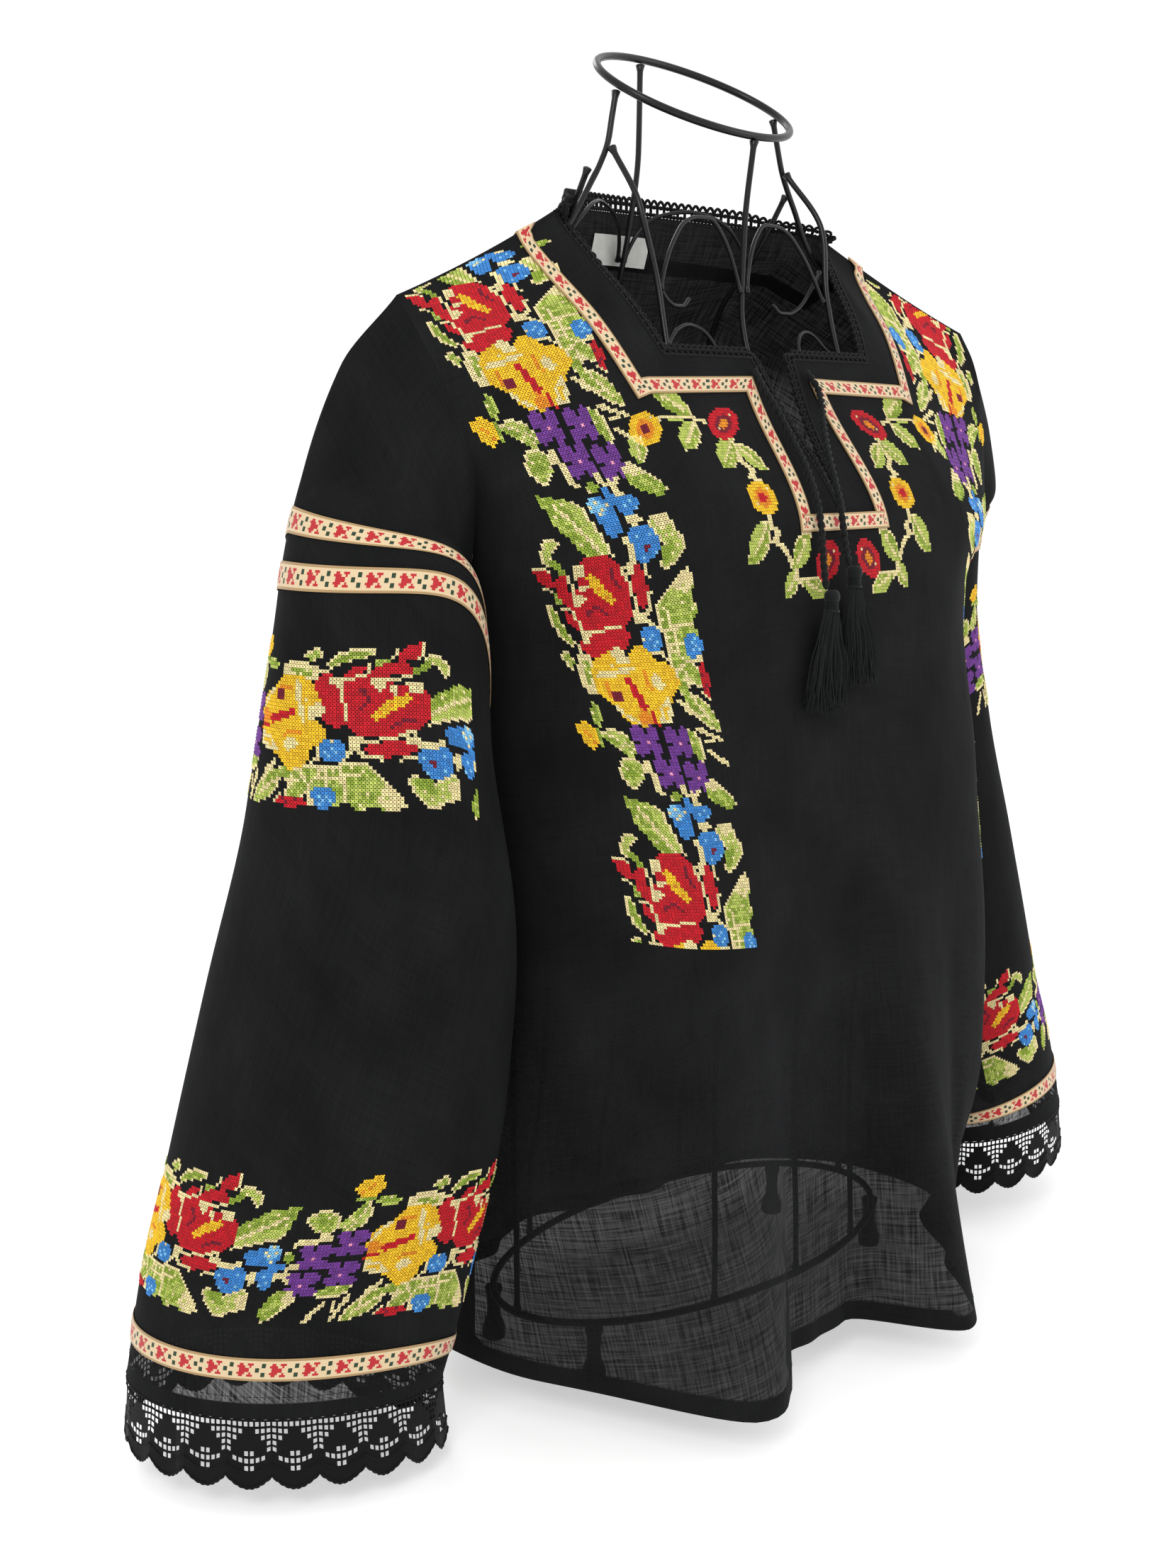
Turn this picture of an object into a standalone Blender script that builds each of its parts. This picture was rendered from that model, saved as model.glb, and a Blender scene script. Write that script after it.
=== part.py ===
"""Black folk blouse with wide sleeves, standing on a scroll-wire tabletop dress form.

Metres, +Z up. The floor is z = 0, the blouse faces -Y, its wearer's right is -X and the
origin lies on the floor under the middle of the whole object.
"""
import math

import bpy
import numpy as np
from mathutils import Vector

MM = 0.001
PLACE = (15 * MM, 0.8 * MM, 15 * MM)    # moves the whole object over the origin

# Cloth and trim
WALL = 1.3 * MM               # cloth wall
SEAM_GAP = 0.28 * MM          # each panel keeps this far back from a seam line
RIBBON_THICK = 0.8 * MM
RIBBON_LIFT = 0.7 * MM        # woven ribbon over the curved chest
RIBBON_RIDGE_LIFT = 1.6 * MM  # the same over the ridge and the back, which curve more
RIDGE_NEAR = 0.03             # levels this near the ridge count as on it
RIBBON_WIDE = 9.5 * MM
TRIM_STEP = 11 * MM           # length of one flat of the neck trims
LACE_THICK = 1.2 * MM
NECK_LACE = 8 * MM            # depth of the crochet edging round the neck
CUFF_LACE = 35 * MM           # depth of the cuff lace
CUFF_SCALLOPS = 20
SCALLOP_DEEP = 7 * MM
LACE_POINTS = 3               # points of the wall for each scallop
SLEEVE_RIBBON_LIFT = 0.3 * MM         # ribbon sewn round a sleeve, which bends less
LACE_FLARE = 2 * MM           # the cuff lace opens out by this much at its scallops

LEVEL_LONG = 0.3              # cloth between the shoulder ridge and the underarm, about

# Heights
HEM_Z = 8 * MM
UNDERARM_Z = 385 * MM
NECK_POINT_Z = 638 * MM
NECK_POINT_X = 115 * MM

# Body, one row for each level. down: 0 at the shoulder ridge, 1 at the underarm, 2 at the hem.
# side_x, front_side_y, back_side_y: armhole or side seam. front_y, back_y: centre front and
# centre back. front_square, back_square: how boxy the section is.
BODY_NAMES = "down side_x front_side_y back_side_y front_y back_y front_square back_square"
BODY_ROWS = (
    (0.00, 249, 18.5, 18.5, 53, 100, 1.0, 1.3),
    (0.10, 246, 6, 32, 24, 108, 1.6, 1.7),
    (0.22, 240, -4, 52, -4, 116, 2.2, 2.2),
    (0.42, 228, -12, 76, -33, 126, 2.7, 2.6),
    (0.67, 208, 10, 70, -71, 132, 3.0, 2.8),
    (0.82, 191, 38, 38, -76, 134, 3.1, 2.9),
    (1.00, 181, 38, 38, -79, 134, 3.4, 3.0),
    (1.20, 182, 38, 38, -82, 133, 4.3, 2.9),
    (1.45, 188, 37, 37, -88, 131, 4.5, 2.7),
    (1.75, 193, 36, 36, -92, 129, 3.8, 2.6),
    (2.00, 196, 34, 34, -95, 127, 2.6, 2.6),
)
RIDGE_DROP = 0.47             # fall of the shoulder ridge for each metre out, at the neck
RIDGE_EASE = 0.5              # how much it flattens, in 1/m
RIDGE_MIDDLE_Y = 53 * MM      # where both ridges would meet
RIDGE_FORWARD = 34.5 / 249    # the ridge runs forward as it goes out
BACK_EASE = 0.25              # the back rounds off the ridge down to this level
BACK_NECK_RISE = 10 * MM

# Large soft folds of the hem: x of the crest, depth at the hem, reach towards -x, reach towards
# +x, and the level where the fold begins.
FRONT_FOLDS = (
    (-142, 64, 48, 85, 1.05),
    (28, 58, 42, 80, 1.15),
    (152, -30, 55, 44, 1.70),
)
BACK_FOLDS = (
    (-30, 24, 65, 60, 1.15),
    (150, 10, 50, 46, 1.15),
)
FOLD_POWER = 1.5

# Neckline, in x and in height on the front
NECK_TOP_HALF = 123 * MM      # cloth edge at the shoulder ridge
NECK_LOW_HALF = 94 * MM       # cloth edge at the square corner
NECK_TURN = 8                 # how late the back's edging turns over towards the front
NECK_LOW = 0.3137             # level of the square's lower edge
SLIT_LOW = 0.644              # level of the slit's end
SLIT_TOP_HALF = 20 * MM
SLIT_LOW_HALF = 3 * MM
RIBBON_RIDGE_X = 154 * MM     # outer edge of the ribbon where it crosses the ridge
RIBBON_CORNER = (125 * MM, 535 * MM)
RIBBON_NOTCH = (36 * MM, 540 * MM)
RIBBON_PLACKET = (41 * MM, 465 * MM)
PLACKET_HALF = 38 * MM
RIBBON_BACK = (148 * MM, 0.112)       # outer corner on the back: x and level

# Embroidered column, measured along the cloth from the centre front
COLUMN_INNER = 152 * MM
COLUMN_OUTER = 228 * MM

# Sleeve, one row for each ring. along: 0 at the armhole, 1 at the cuff. x, y: middle of the
# ring. broad, deep: half axes. turn: degrees that the broad axis is turned back.
# outer_z, inner_z: heights of the ring's outer and underarm sides.
SLEEVE_NAMES = "along x y broad deep turn outer_z inner_z"
SLEEVE_ROWS = (
    (0.00, 220, 30, 29, 46, 0, 584, 424),
    (0.08, 231, 36, 43, 49, 8, 550, 404),
    (0.20, 238, 39, 49, 50, 20, 494, 358),
    (0.35, 245, 39, 56, 50, 30, 412, 296),
    (0.50, 252, 33, 68, 53, 38, 330, 248),
    (0.65, 268, 27, 78, 57, 43, 244, 196),
    (0.80, 287, 22, 84, 60, 45, 150, 130),
    (0.92, 306, 21, 83, 60, 45, 90, 60),
    (1.00, 315, 22, 82, 61, 45, 45, 31),
)
DROP_POWER = 3                # how late the ring's underarm side drops
UNDERARM_TURN = math.radians(45)      # the underarm seam hangs towards the back
# The sleeves don't hang quite alike. right_x, left_x count outward.
SWAY_NAMES = "along right_x right_y right_z left_x left_y left_z"
SWAY_ROWS = (
    (0.0, 0, 0, 0, 0, 0, 0),
    (0.15, 0, 0, 0, 6, 2, 0),
    (0.3, 0, 0, 0, -1, 14, 0),
    (0.5, 0, 0, 0, -2, 18, 0),
    (0.8, 0, 16, -3, -22, 4, 4),
    (1.0, -8, 32, -8, -38, -13, 10),
)
SLEEVE_BLEND = 0.3            # the armhole's own shape fades out over this stretch
ARMHOLE_LOW = 0.82            # level of the underarm seam
BODY_CLEARANCE = 5 * MM       # the sleeve keeps this far off the body, from here on
CLEARANCE_FROM = 0.045
UNDERARM_GAP = 1.5 * MM       # and this far at the seam itself, where the cloth folds over
CLEARANCE_BELOW = 0.66        # level from which it does
ARM_RIBBONS = ((0.222, 0.247), (0.272, 0.297))
CUFF_RIBBON = (0.945, 0.965)

# Ties and label
CORD_RADIUS = 2.2 * MM
TASSEL_HEAD = (4.5 * MM, 12 * MM)     # radius and height
TASSEL_LONG = 67 * MM
TASSEL_SPREAD = (11 * MM, 7 * MM)
TASSEL_LEAN = 4 * MM          # the two skirts lean away from each other
STRAND_RADIUS = 0.9 * MM
TASSEL_FORWARD = 4 * MM
CORD_RIGHT = ((-24, 551, 0.6), (-25, 545, 1.4), (-23, 532, 3), (-21, 516, 2.2), (-22, 500, 2),
              (-25, 484, 2), (-28, 468, 2.6), (-30, 450, 3), (-31, 434, 4.5))
CORD_LEFT = ((24, 551, 0.6), (25, 544, 2.2), (20, 532, 4.5), (9, 517, 5), (0, 502, 4.5),
             (-6, 487, 4), (-9, 472, 3.6), (-10, 458, 3.6), (-10, 446, 5))
LABEL_SIZE = (50 * MM, 17 * MM, 0.8 * MM)
LABEL_TOP = 0.045
LABEL_LIFT = 1.4 * MM

# Wire form
RING_WIRE = 2.2 * MM
RIB_WIRE = 1.7 * MM
SCROLL_WIRE = 1.2 * MM
JOINT_GAP = 0.3 * MM
NECK_RING = (0, 40.5 * MM, 708 * MM)
NECK_RING_HALF = (69 * MM, 50 * MM)
NECK_RING_TILT = math.radians(31)
HOOP_Z = 20 * MM
HOOP_CENTRE_Y = 35 * MM
HOOP_HALF = (155 * MM, 82 * MM)
FOOT_RADIUS = 7 * MM
FOOT_ANGLES = (30, 150, 210, 330)

COLOURS = {
    "cloth": ((0.006, 0.006, 0.007, 1), 0.85, 0),
    "ribbon": ((0.72, 0.58, 0.38, 1), 0.8, 0),
    "lace": ((0.004, 0.004, 0.005, 1), 0.8, 0),
    "cord": ((0.005, 0.005, 0.006, 1), 0.7, 0),
    "label": ((0.75, 0.74, 0.7, 1), 0.7, 0),
    "wire": ((0.012, 0.012, 0.013, 1), 0.35, 0.6),
}


def clear_scene():
    for item in list(bpy.data.objects):
        bpy.data.objects.remove(item, do_unlink=True)


def material(kind):
    found = bpy.data.materials.get(kind)
    if found:
        return found
    colour, rough, metal = COLOURS[kind]
    made = bpy.data.materials.new(kind)
    made.use_nodes = True
    shader = made.node_tree.nodes["Principled BSDF"]
    shader.inputs["Base Color"].default_value = colour
    shader.inputs["Roughness"].default_value = rough
    shader.inputs["Metallic"].default_value = metal
    return made


def add_mesh(name, points, faces, kind):
    mesh = bpy.data.meshes.new(name)
    mesh.from_pydata([tuple(map(float, p)) for p in points], [], [tuple(f) for f in faces])
    mesh.materials.append(material(kind))
    mesh.shade_smooth()
    item = bpy.data.objects.new(name, mesh)
    bpy.context.collection.objects.link(item)
    return item


# Numbers


def through(xs, ys, x):
    """Smooth curve through the points (xs, ys), read at x."""
    xs, ys, x = np.asarray(xs, float), np.asarray(ys, float), np.asarray(x, float)
    step = np.diff(xs)
    slope = np.diff(ys) / step
    lean = np.empty(len(xs))
    lean[0], lean[-1] = slope[0], slope[-1]
    same = slope[:-1] * slope[1:] > 0
    total = np.where(same, slope[:-1] + slope[1:], 1)
    lean[1:-1] = np.where(same, 2 * slope[:-1] * slope[1:] / total, 0)
    i = np.clip(np.searchsorted(xs, x, side="right") - 1, 0, len(xs) - 2)
    h = step[i]
    t = (x - xs[i]) / h
    start = ys[i] * (2 * t**3 - 3 * t**2 + 1) + lean[i] * h * (t**3 - 2 * t**2 + t)
    end = ys[i + 1] * (3 * t**2 - 2 * t**3) + lean[i + 1] * h * (t**3 - t**2)
    return start + end


class Table:
    """Named columns in millimetres, read between the rows; key, angles and shapes stay as is."""

    PLAIN = ("down", "along", "turn", "start", "front_square", "back_square")

    def __init__(self, names, rows):
        self.key = names.split()[0]
        self.columns = {}
        for name, column in zip(names.split(), np.array(rows, float).T):
            self.columns[name] = column if name in self.PLAIN else column * MM

    def __call__(self, name, at):
        return through(self.columns[self.key], self.columns[name], at)


BODY = Table(BODY_NAMES, BODY_ROWS)
SLEEVE = Table(SLEEVE_NAMES, SLEEVE_ROWS)
SWAY = Table(SWAY_NAMES, SWAY_ROWS)


def smooth_step(t):
    t = np.clip(t, 0, 1)
    return t * t * (3 - 2 * t)


def unit(v):
    v = np.asarray(v, float)
    return v / np.maximum(np.linalg.norm(v, axis=-1, keepdims=True), 1e-12)


# The body's surface


def ridge(x):
    """y and height of the shoulder ridge at a distance x from the middle."""
    out = np.maximum(np.abs(x) - NECK_POINT_X, 0)
    z = NECK_POINT_Z - RIDGE_DROP * out + RIDGE_EASE * out**2
    return RIDGE_MIDDLE_Y - RIDGE_FORWARD * np.abs(x), z


def folds_at(rows, x, down):
    """How far the large folds push the cloth out, at x and at a level."""
    out = np.zeros(np.broadcast(x, down).shape)
    for at, depth, minus, plus, start in rows:
        away = x - at * MM
        reach = np.where(away < 0, minus, plus) * MM
        crest = 0.5 + 0.5 * np.cos(np.pi * np.clip(away / reach, -1, 1))
        grown = np.clip((down - start) / (2 - start), 0, 1) ** FOLD_POWER
        out = out + depth * MM * crest * grown
    return out


def body_point(x, down, back=False):
    """Point of the cloth's outer face at x and at a level, on the front or the back."""
    x, down = np.broadcast_arrays(np.asarray(x, float), np.asarray(down, float))
    side = BODY("side_x", down)
    flat = np.clip(np.abs(x) / side, 0, 1)
    square = BODY("back_square" if back else "front_square", down)
    bulge = (1 - flat**square) ** (1 / square)
    edge = BODY("back_side_y" if back else "front_side_y", down)
    centre = BODY("back_y" if back else "front_y", down)
    y = edge + (centre - edge) * bulge
    ridge_z = ridge(x)[1]
    if back:
        neck_y = ridge(np.maximum(np.abs(x), NECK_POINT_X))[0]
        inside = np.clip(1 - (x / NECK_POINT_X) ** 2, 0, 1)
        top_y = neck_y + (BODY("back_y", 0) - ridge(NECK_POINT_X)[0]) * inside
        y = top_y + (y - top_y) * (1 - np.clip(1 - down / BACK_EASE, 0, 1) ** 2)
        ridge_z = ridge_z + BACK_NECK_RISE * inside * smooth_step(1 - down / BACK_EASE)
        y = y + folds_at(BACK_FOLDS, x, down)
    else:
        y = y - folds_at(FRONT_FOLDS, x, down)
    upper = ridge_z - down * (ridge_z - UNDERARM_Z)
    lower = UNDERARM_Z - (down - 1) * (UNDERARM_Z - HEM_Z)
    return np.stack([x, y, np.where(down < 1, upper, lower)], -1)


def level_of(x, z):
    """Level of the front at a given x and height above the underarm."""
    ridge_z = ridge(x)[1]
    return (ridge_z - z) / (ridge_z - UNDERARM_Z)


def x_at_arc(arc, down, back=False, sign=1):
    """x of the point that lies arc metres along the cloth from the middle, at one level."""
    side = float(BODY("side_x", down))
    fine = side * np.sin(np.linspace(0, np.pi / 2, 160))
    line = body_point(sign * fine, down, back)
    run = np.concatenate([[0], np.cumsum(np.linalg.norm(np.diff(line, axis=0), axis=1))])
    return sign * np.interp(arc, run, fine), run[-1]


def neck_half(down):
    """Half width of the neck opening in the cloth at a level of the front."""
    t = np.clip(down / NECK_LOW, 0, 1)
    return NECK_TOP_HALF + (NECK_LOW_HALF - NECK_TOP_HALF) * t


def slit_half(down):
    t = np.clip((down - NECK_LOW) / (SLIT_LOW - NECK_LOW), 0, 1)
    return SLIT_TOP_HALF + (SLIT_LOW_HALF - SLIT_TOP_HALF) * t


# Walls


def face_normals(grid, round_closed=False):
    """Normal of every vertex of a grid of points, summed from its faces."""
    total = np.zeros_like(grid)
    ring = grid.shape[1]
    columns = range(ring if round_closed else ring - 1)
    for j in columns:
        k = (j + 1) % ring
        a, b, c, d = grid[:-1, j], grid[1:, j], grid[1:, k], grid[:-1, k]
        n = np.cross(c - a, d - b)
        total[:-1, j] += n
        total[1:, j] += n
        total[1:, k] += n
        total[:-1, k] += n
    return total


def key_of(point):
    return tuple(np.round(np.asarray(point) * 1e5).astype(int))


class Seams:
    """Sums the normals of points that panels share, so that both sides agree."""

    def __init__(self):
        self.sums = {}

    def add(self, grid, normals):
        for point, normal in zip(grid.reshape(-1, 3), normals.reshape(-1, 3)):
            key = key_of(point)
            self.sums[key] = self.sums.get(key, 0) + unit(normal)

    def read(self, grid, normals):
        out = unit(normals)
        for index in np.ndindex(grid.shape[:2]):
            shared = self.sums[key_of(grid[index])]
            size = np.linalg.norm(shared)
            if size > 0.35:
                out[index] = shared / size
        return out


def wall(name, grid, normals, kind="cloth", closed=False, cells=None, thick=WALL, flip=False):
    """Closed wall between a grid of outer points and the same points moved in."""
    rows, ring = grid.shape[:2]
    columns = ring if closed else ring - 1
    if cells is None:
        cells = np.ones((rows - 1, columns), bool)
    used = {}
    points = []
    inner_of = {}

    def number(i, j):
        key = (i, j % ring)
        if key not in used:
            used[key] = len(points)
            points.append(grid[key])
            inner_of[key] = len(points)
            points.append(grid[key] - normals[key] * thick)
        return used[key], inner_of[key]

    faces = []

    def is_cell(i, j):
        if i < 0 or i >= rows - 1:
            return False
        if closed:
            return cells[i, j % columns]
        return 0 <= j < columns and cells[i, j]

    for i in range(rows - 1):
        for j in range(columns):
            if not cells[i, j]:
                continue
            corner = [number(i, j), number(i + 1, j), number(i + 1, j + 1), number(i, j + 1)]
            for a, b, c in ((0, 1, 2), (0, 2, 3)):
                faces.append([corner[a][0], corner[b][0], corner[c][0]])
                faces.append([corner[c][1], corner[b][1], corner[a][1]])
            beside = (is_cell(i, j - 1), is_cell(i + 1, j), is_cell(i, j + 1), is_cell(i - 1, j))
            for side, other in enumerate(beside):
                if not other:
                    a, b = corner[side], corner[(side + 1) % 4]
                    faces.append([b[0], a[0], a[1], b[1]])
    if flip:
        faces = [f[::-1] for f in faces]
    return add_mesh(name, points, faces, kind)


def draw_back(grid, rows=(), columns=()):
    """Moves the named border rows and columns of a grid in by the seam gap."""
    out = grid.copy()
    for i in rows:
        step = 1 if i == 0 else -1
        out[i] += unit(grid[i + step] - grid[i]) * SEAM_GAP
    for j in columns:
        step = 1 if j == 0 else -1
        out[:, j] += unit(grid[:, j + step] - grid[:, j]) * SEAM_GAP
    return out


UPPER_LEVELS = (0, 0.055, 0.115, 0.18, 0.245, NECK_LOW, 0.38, 0.445, 0.51, 0.575, SLIT_LOW, 0.73,
                ARMHOLE_LOW)
LOWER_LEVELS = (0.91, 1, 1.1, 1.22, 1.34, 1.46, 1.58, 1.7, 1.8, 1.9, 2)
LEVELS = UPPER_LEVELS + LOWER_LEVELS
ARM_ROWS = len(UPPER_LEVELS)
HALF_COLUMNS = 13             # column lines of each half of the front
NECK_COLUMN = 5               # the one that carries the neck edge
NECK_RIGHT = HALF_COLUMNS - 1 - NECK_COLUMN
NECK_LEFT = HALF_COLUMNS + NECK_COLUMN
SLIT_CELL = HALF_COLUMNS - 1
BACK_NECK_CELLS = 8


def front_columns(down, sign):
    """x of the front's column lines at one level, from the middle out to one side."""
    slit = float(slit_half(down))
    neck = float(neck_half(down))
    total = x_at_arc(0, down, sign=sign)[1]
    arcs = [slit, 0.5 * (slit + PLACKET_HALF), PLACKET_HALF]
    arcs += list(np.linspace(PLACKET_HALF, neck, 4)[1:])
    outer = total - 14 * MM if total - COLUMN_OUTER > 20 * MM else total - 8 * MM
    inner = min(COLUMN_INNER, total - 70 * MM)
    arcs += list(np.linspace(neck, inner, 3)[1:])
    arcs += list(np.linspace(inner, outer, 5)[1:])
    arcs += [total]
    return [float(x_at_arc(a, down, sign=sign)[0]) for a in arcs]


def front_grid():
    rows = []
    for down in LEVELS:
        right = front_columns(down, -1)
        left = front_columns(down, 1)
        side = float(BODY("side_x", down))
        right[-1], left[-1] = -side, side
        rows.append(body_point(np.array(right[::-1] + left), down))
    return np.array(rows)


def back_grid(front):
    """The back's columns start at +x. Outside the neck they keep the front's x positions."""
    rows = []
    for line, down in zip(front[:, :, 0], LEVELS):
        right, left = line[: NECK_RIGHT + 1], line[NECK_LEFT:]
        inside = np.linspace(left[0], right[-1], BACK_NECK_CELLS + 1)[1:-1]
        rows.append(body_point(np.concatenate([left[::-1], inside, right[::-1]]), down, True))
    return np.array(rows)


def sleeve_ring(along, angles):
    """Ring of the plain sleeve at one place, right side out at +x."""
    turn = np.radians(SLEEVE("turn", along))
    broad, deep = SLEEVE("broad", along), SLEEVE("deep", along)
    a, b = broad * np.cos(angles), deep * np.sin(angles)
    x = SLEEVE("x", along) + a * np.cos(turn) - b * np.sin(turn)
    y = SLEEVE("y", along) + a * np.sin(turn) + b * np.cos(turn)
    fall = SLEEVE("outer_z", along) - SLEEVE("inner_z", along)
    away = np.cos(angles + UNDERARM_TURN)
    z = SLEEVE("outer_z", along) - fall * (0.5 - 0.5 * away) ** DROP_POWER
    return np.stack([x, y, z], -1)


SLEEVE_ALONG = (0, 0.04, 0.09, 0.15) + ARM_RIBBONS[0] + ARM_RIBBONS[1] + (
    0.40, 0.50, 0.60, 0.70, 0.79) + CUFF_RIBBON + (1,)


def armhole(sign, front, back):
    """Armhole loop from the ridge down the front to the underarm and up the back."""
    fj = -1 if sign > 0 else 0
    bj = 0 if sign > 0 else -1
    down_front = front[:ARM_ROWS, fj]
    up_back = back[:ARM_ROWS, bj][::-1]
    return np.concatenate([down_front, up_back[1:-1]])


def sleeve_angles(loop, sign):
    """Angle of each armhole point round the sleeve, by its run along the loop."""
    closed = np.concatenate([loop, loop[:1]])
    run = np.concatenate([[0], np.cumsum(np.linalg.norm(np.diff(closed, axis=0), axis=1))])
    low = ARM_ROWS - 1
    front = np.pi * run[: low + 1] / run[low]
    back = np.pi + np.pi * (run[low + 1 : -1] - run[low]) / (run[-1] - run[low])
    return -np.concatenate([front, back])


def clear_of_body(points, along):
    """Moves sleeve points, right side out at +x, off the body that they would lie inside."""
    x, y, z = points[:, 0], points[:, 1], points[:, 2]
    ridge_z = ridge(x)[1]
    below = 1 + (UNDERARM_Z - z) / (UNDERARM_Z - HEM_Z)
    down = np.where(z < UNDERARM_Z, below, (ridge_z - z) / (ridge_z - UNDERARM_Z))
    down = np.clip(down, 0, 2)
    reach = np.zeros(len(points))
    for side in ("front", "back"):
        edge, centre = BODY(side + "_side_y", down), BODY(side + "_y", down)
        square = BODY(side + "_square", down)
        t = np.clip((y - edge) / (centre - edge), 0, 1)
        inside = (y <= edge) if side == "front" else (y > edge)
        reach = np.where(inside, BODY("side_x", down) * (1 - t**square) ** (1 / square), reach)
    off = UNDERARM_GAP + (BODY_CLEARANCE - UNDERARM_GAP) * smooth_step(along / CLEARANCE_FROM)
    pushed = np.where((down > CLEARANCE_BELOW) & (x < reach + off), reach + off, x)
    return np.stack([pushed, y, z], -1)


def sleeve_grid(sign, front, back):
    loop = armhole(sign, front, back)
    plain = loop * (sign, 1, 1)
    angles = sleeve_angles(loop, sign)
    rows = []
    for along in SLEEVE_ALONG:
        side = "left" if sign > 0 else "right"
        sway = [float(SWAY(side + axis, along)) for axis in ("_x", "_y", "_z")]
        ring = sleeve_ring(along, angles) + sway
        shift = plain - sleeve_ring(0, angles)
        ring = ring + shift * (1 - smooth_step(along / SLEEVE_BLEND))
        rows.append(clear_of_body(ring, along) * (sign, 1, 1))
    return np.array(rows)


def strip(name, edge, free, normals, kind, thick, lift=0.0, closed=False):
    """Flat strip between two lines of points, lifted off along its normals."""
    grid = np.array([edge, free]) + np.array([normals, normals]) * (lift + thick)
    facing = np.sum(face_normals(grid, closed)[0] * normals) > 0
    return wall(name, grid, np.array([normals, normals]), kind, closed, thick=thick, flip=not facing)


def subdivide(corners, step):
    """Points along a path of corners, spaced evenly between them, with each corner kept."""
    out = []
    for a, b in zip(corners[:-1], corners[1:]):
        a, b = np.asarray(a, float), np.asarray(b, float)
        count = max(1, int(round(np.linalg.norm(b - a) / step)))
        out += [a + (b - a) * t for t in np.arange(count) / count]
    out.append(np.asarray(corners[-1], float))
    return np.array(out)


def surface_normal(x, down, back):
    e = 2 * MM
    across = body_point(x + e, down, back) - body_point(x - e, down, back)
    along = body_point(x, down + 0.01, back) - body_point(x, np.maximum(down - 0.01, 0), back)
    n = unit(np.cross(along, across))
    return -n if back else n


def path_points(stations):
    """Points and normals of (x, level, back) stations on the cloth's outer face."""
    points, normals = [], []
    for x, down, back in stations:
        points.append(body_point(x, down, back))
        n = surface_normal(x, down, back)
        if down <= 0:
            share = min(1.0, abs(x) / NECK_TOP_HALF) ** NECK_TURN
            n = unit(share * surface_normal(x, 0.012, False) + surface_normal(x, 0.012, True))
        normals.append(n)
    return np.array(points), np.array(normals)


def beside(points, normals, width, closed=True):
    """The line that runs width to the left of a path, seen from outside, with mitred corners."""
    ahead = unit(np.roll(points, -1, 0) - points)
    before = unit(points - np.roll(points, 1, 0))
    if not closed:
        ahead[-1], before[0] = before[-1], ahead[0]
    mean = unit(ahead + before)
    mitre = np.clip(np.sum(mean * ahead, 1), 0.6, 1)
    return points + unit(np.cross(normals, mean)) * (width / mitre)[:, None]


def stations_of(corners, back):
    return [(x, down, back) for x, down in subdivide_levels(corners)]


def subdivide_levels(corners, step=TRIM_STEP):
    """Splits a path of (x, level) corners into steps of about the same length on the cloth."""
    scaled = [(x, down * LEVEL_LONG) for x, down in corners]
    return [(x, far / LEVEL_LONG) for x, far in subdivide(scaled, step)]


def neck_ribbon():
    """One woven ribbon: shoulders, square corners, notch, placket, and round the back neck."""
    half = [(RIBBON_RIDGE_X, 0.0)]
    half += [(x, float(level_of(x, z))) for x, z in (RIBBON_CORNER, RIBBON_NOTCH, RIBBON_PLACKET)]
    front = [(-x, down) for x, down in half] + half[::-1]
    back_x, back_level = RIBBON_BACK
    back = [(RIBBON_RIDGE_X, 0.0), (back_x, back_level), (-back_x, back_level),
            (-RIBBON_RIDGE_X, 0.0)]
    stations = stations_of(front, False)[:-1] + stations_of(back, True)[:-1]
    points, normals = path_points(stations)
    inner = beside(points, normals, RIBBON_WIDE)
    lift = np.array([RIBBON_RIDGE_LIFT if back or down < RIDGE_NEAR else RIBBON_LIFT
                     for x, down, back in stations])[:, None]
    return strip("neck_ribbon", points, inner, normals, "ribbon", RIBBON_THICK, lift, True)


def neck_edge():
    """(panel, row, column) of the grid points round the neck and the slit, from the right ridge."""
    low, slit_low = LEVELS.index(NECK_LOW), LEVELS.index(SLIT_LOW)
    loop = [("front", i, NECK_RIGHT) for i in range(low)]
    loop += [("front", low, j) for j in range(NECK_RIGHT, SLIT_CELL)]
    loop += [("front", i, SLIT_CELL) for i in range(low, slit_low + 1)]
    loop += [("front", i, SLIT_CELL + 1) for i in range(slit_low, low, -1)]
    loop += [("front", low, j) for j in range(SLIT_CELL + 1, NECK_LEFT)]
    loop += [("front", i, NECK_LEFT) for i in range(low, 0, -1)]
    first = 2 * HALF_COLUMNS - 1 - NECK_LEFT
    return loop + [("back", 0, j) for j in range(first, first + BACK_NECK_CELLS)]


def neck_lace(grids, normals):
    """Crochet edging that continues the cloth past the neck edge and down both slit edges."""
    loop = neck_edge()
    points = np.array([grids[name][i, j] for name, i, j in loop])
    outward = np.array([normals[name][i, j] for name, i, j in loop])
    widths = np.full(len(loop), NECK_LACE)
    for k, (name, i, j) in enumerate(loop):
        if name == "front" and i > LEVELS.index(NECK_LOW):
            widths[k] = min(NECK_LACE, max(abs(points[k][0]) - 1 * MM, 1.2 * MM))
    edge = beside(points, outward, 2 * SEAM_GAP)
    free = points + unit(beside(points, outward, 1.0) - points) * widths[:, None]
    return strip("neck_lace", edge, free, outward, "lace", LACE_THICK, -LACE_THICK, True)


def ribbon_round_sleeve(name, grid, normals, rows):
    low, high = rows
    strip(name, grid[low], grid[high], normals[low], "ribbon", RIBBON_THICK, SLEEVE_RIBBON_LIFT,
          True)


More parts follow.
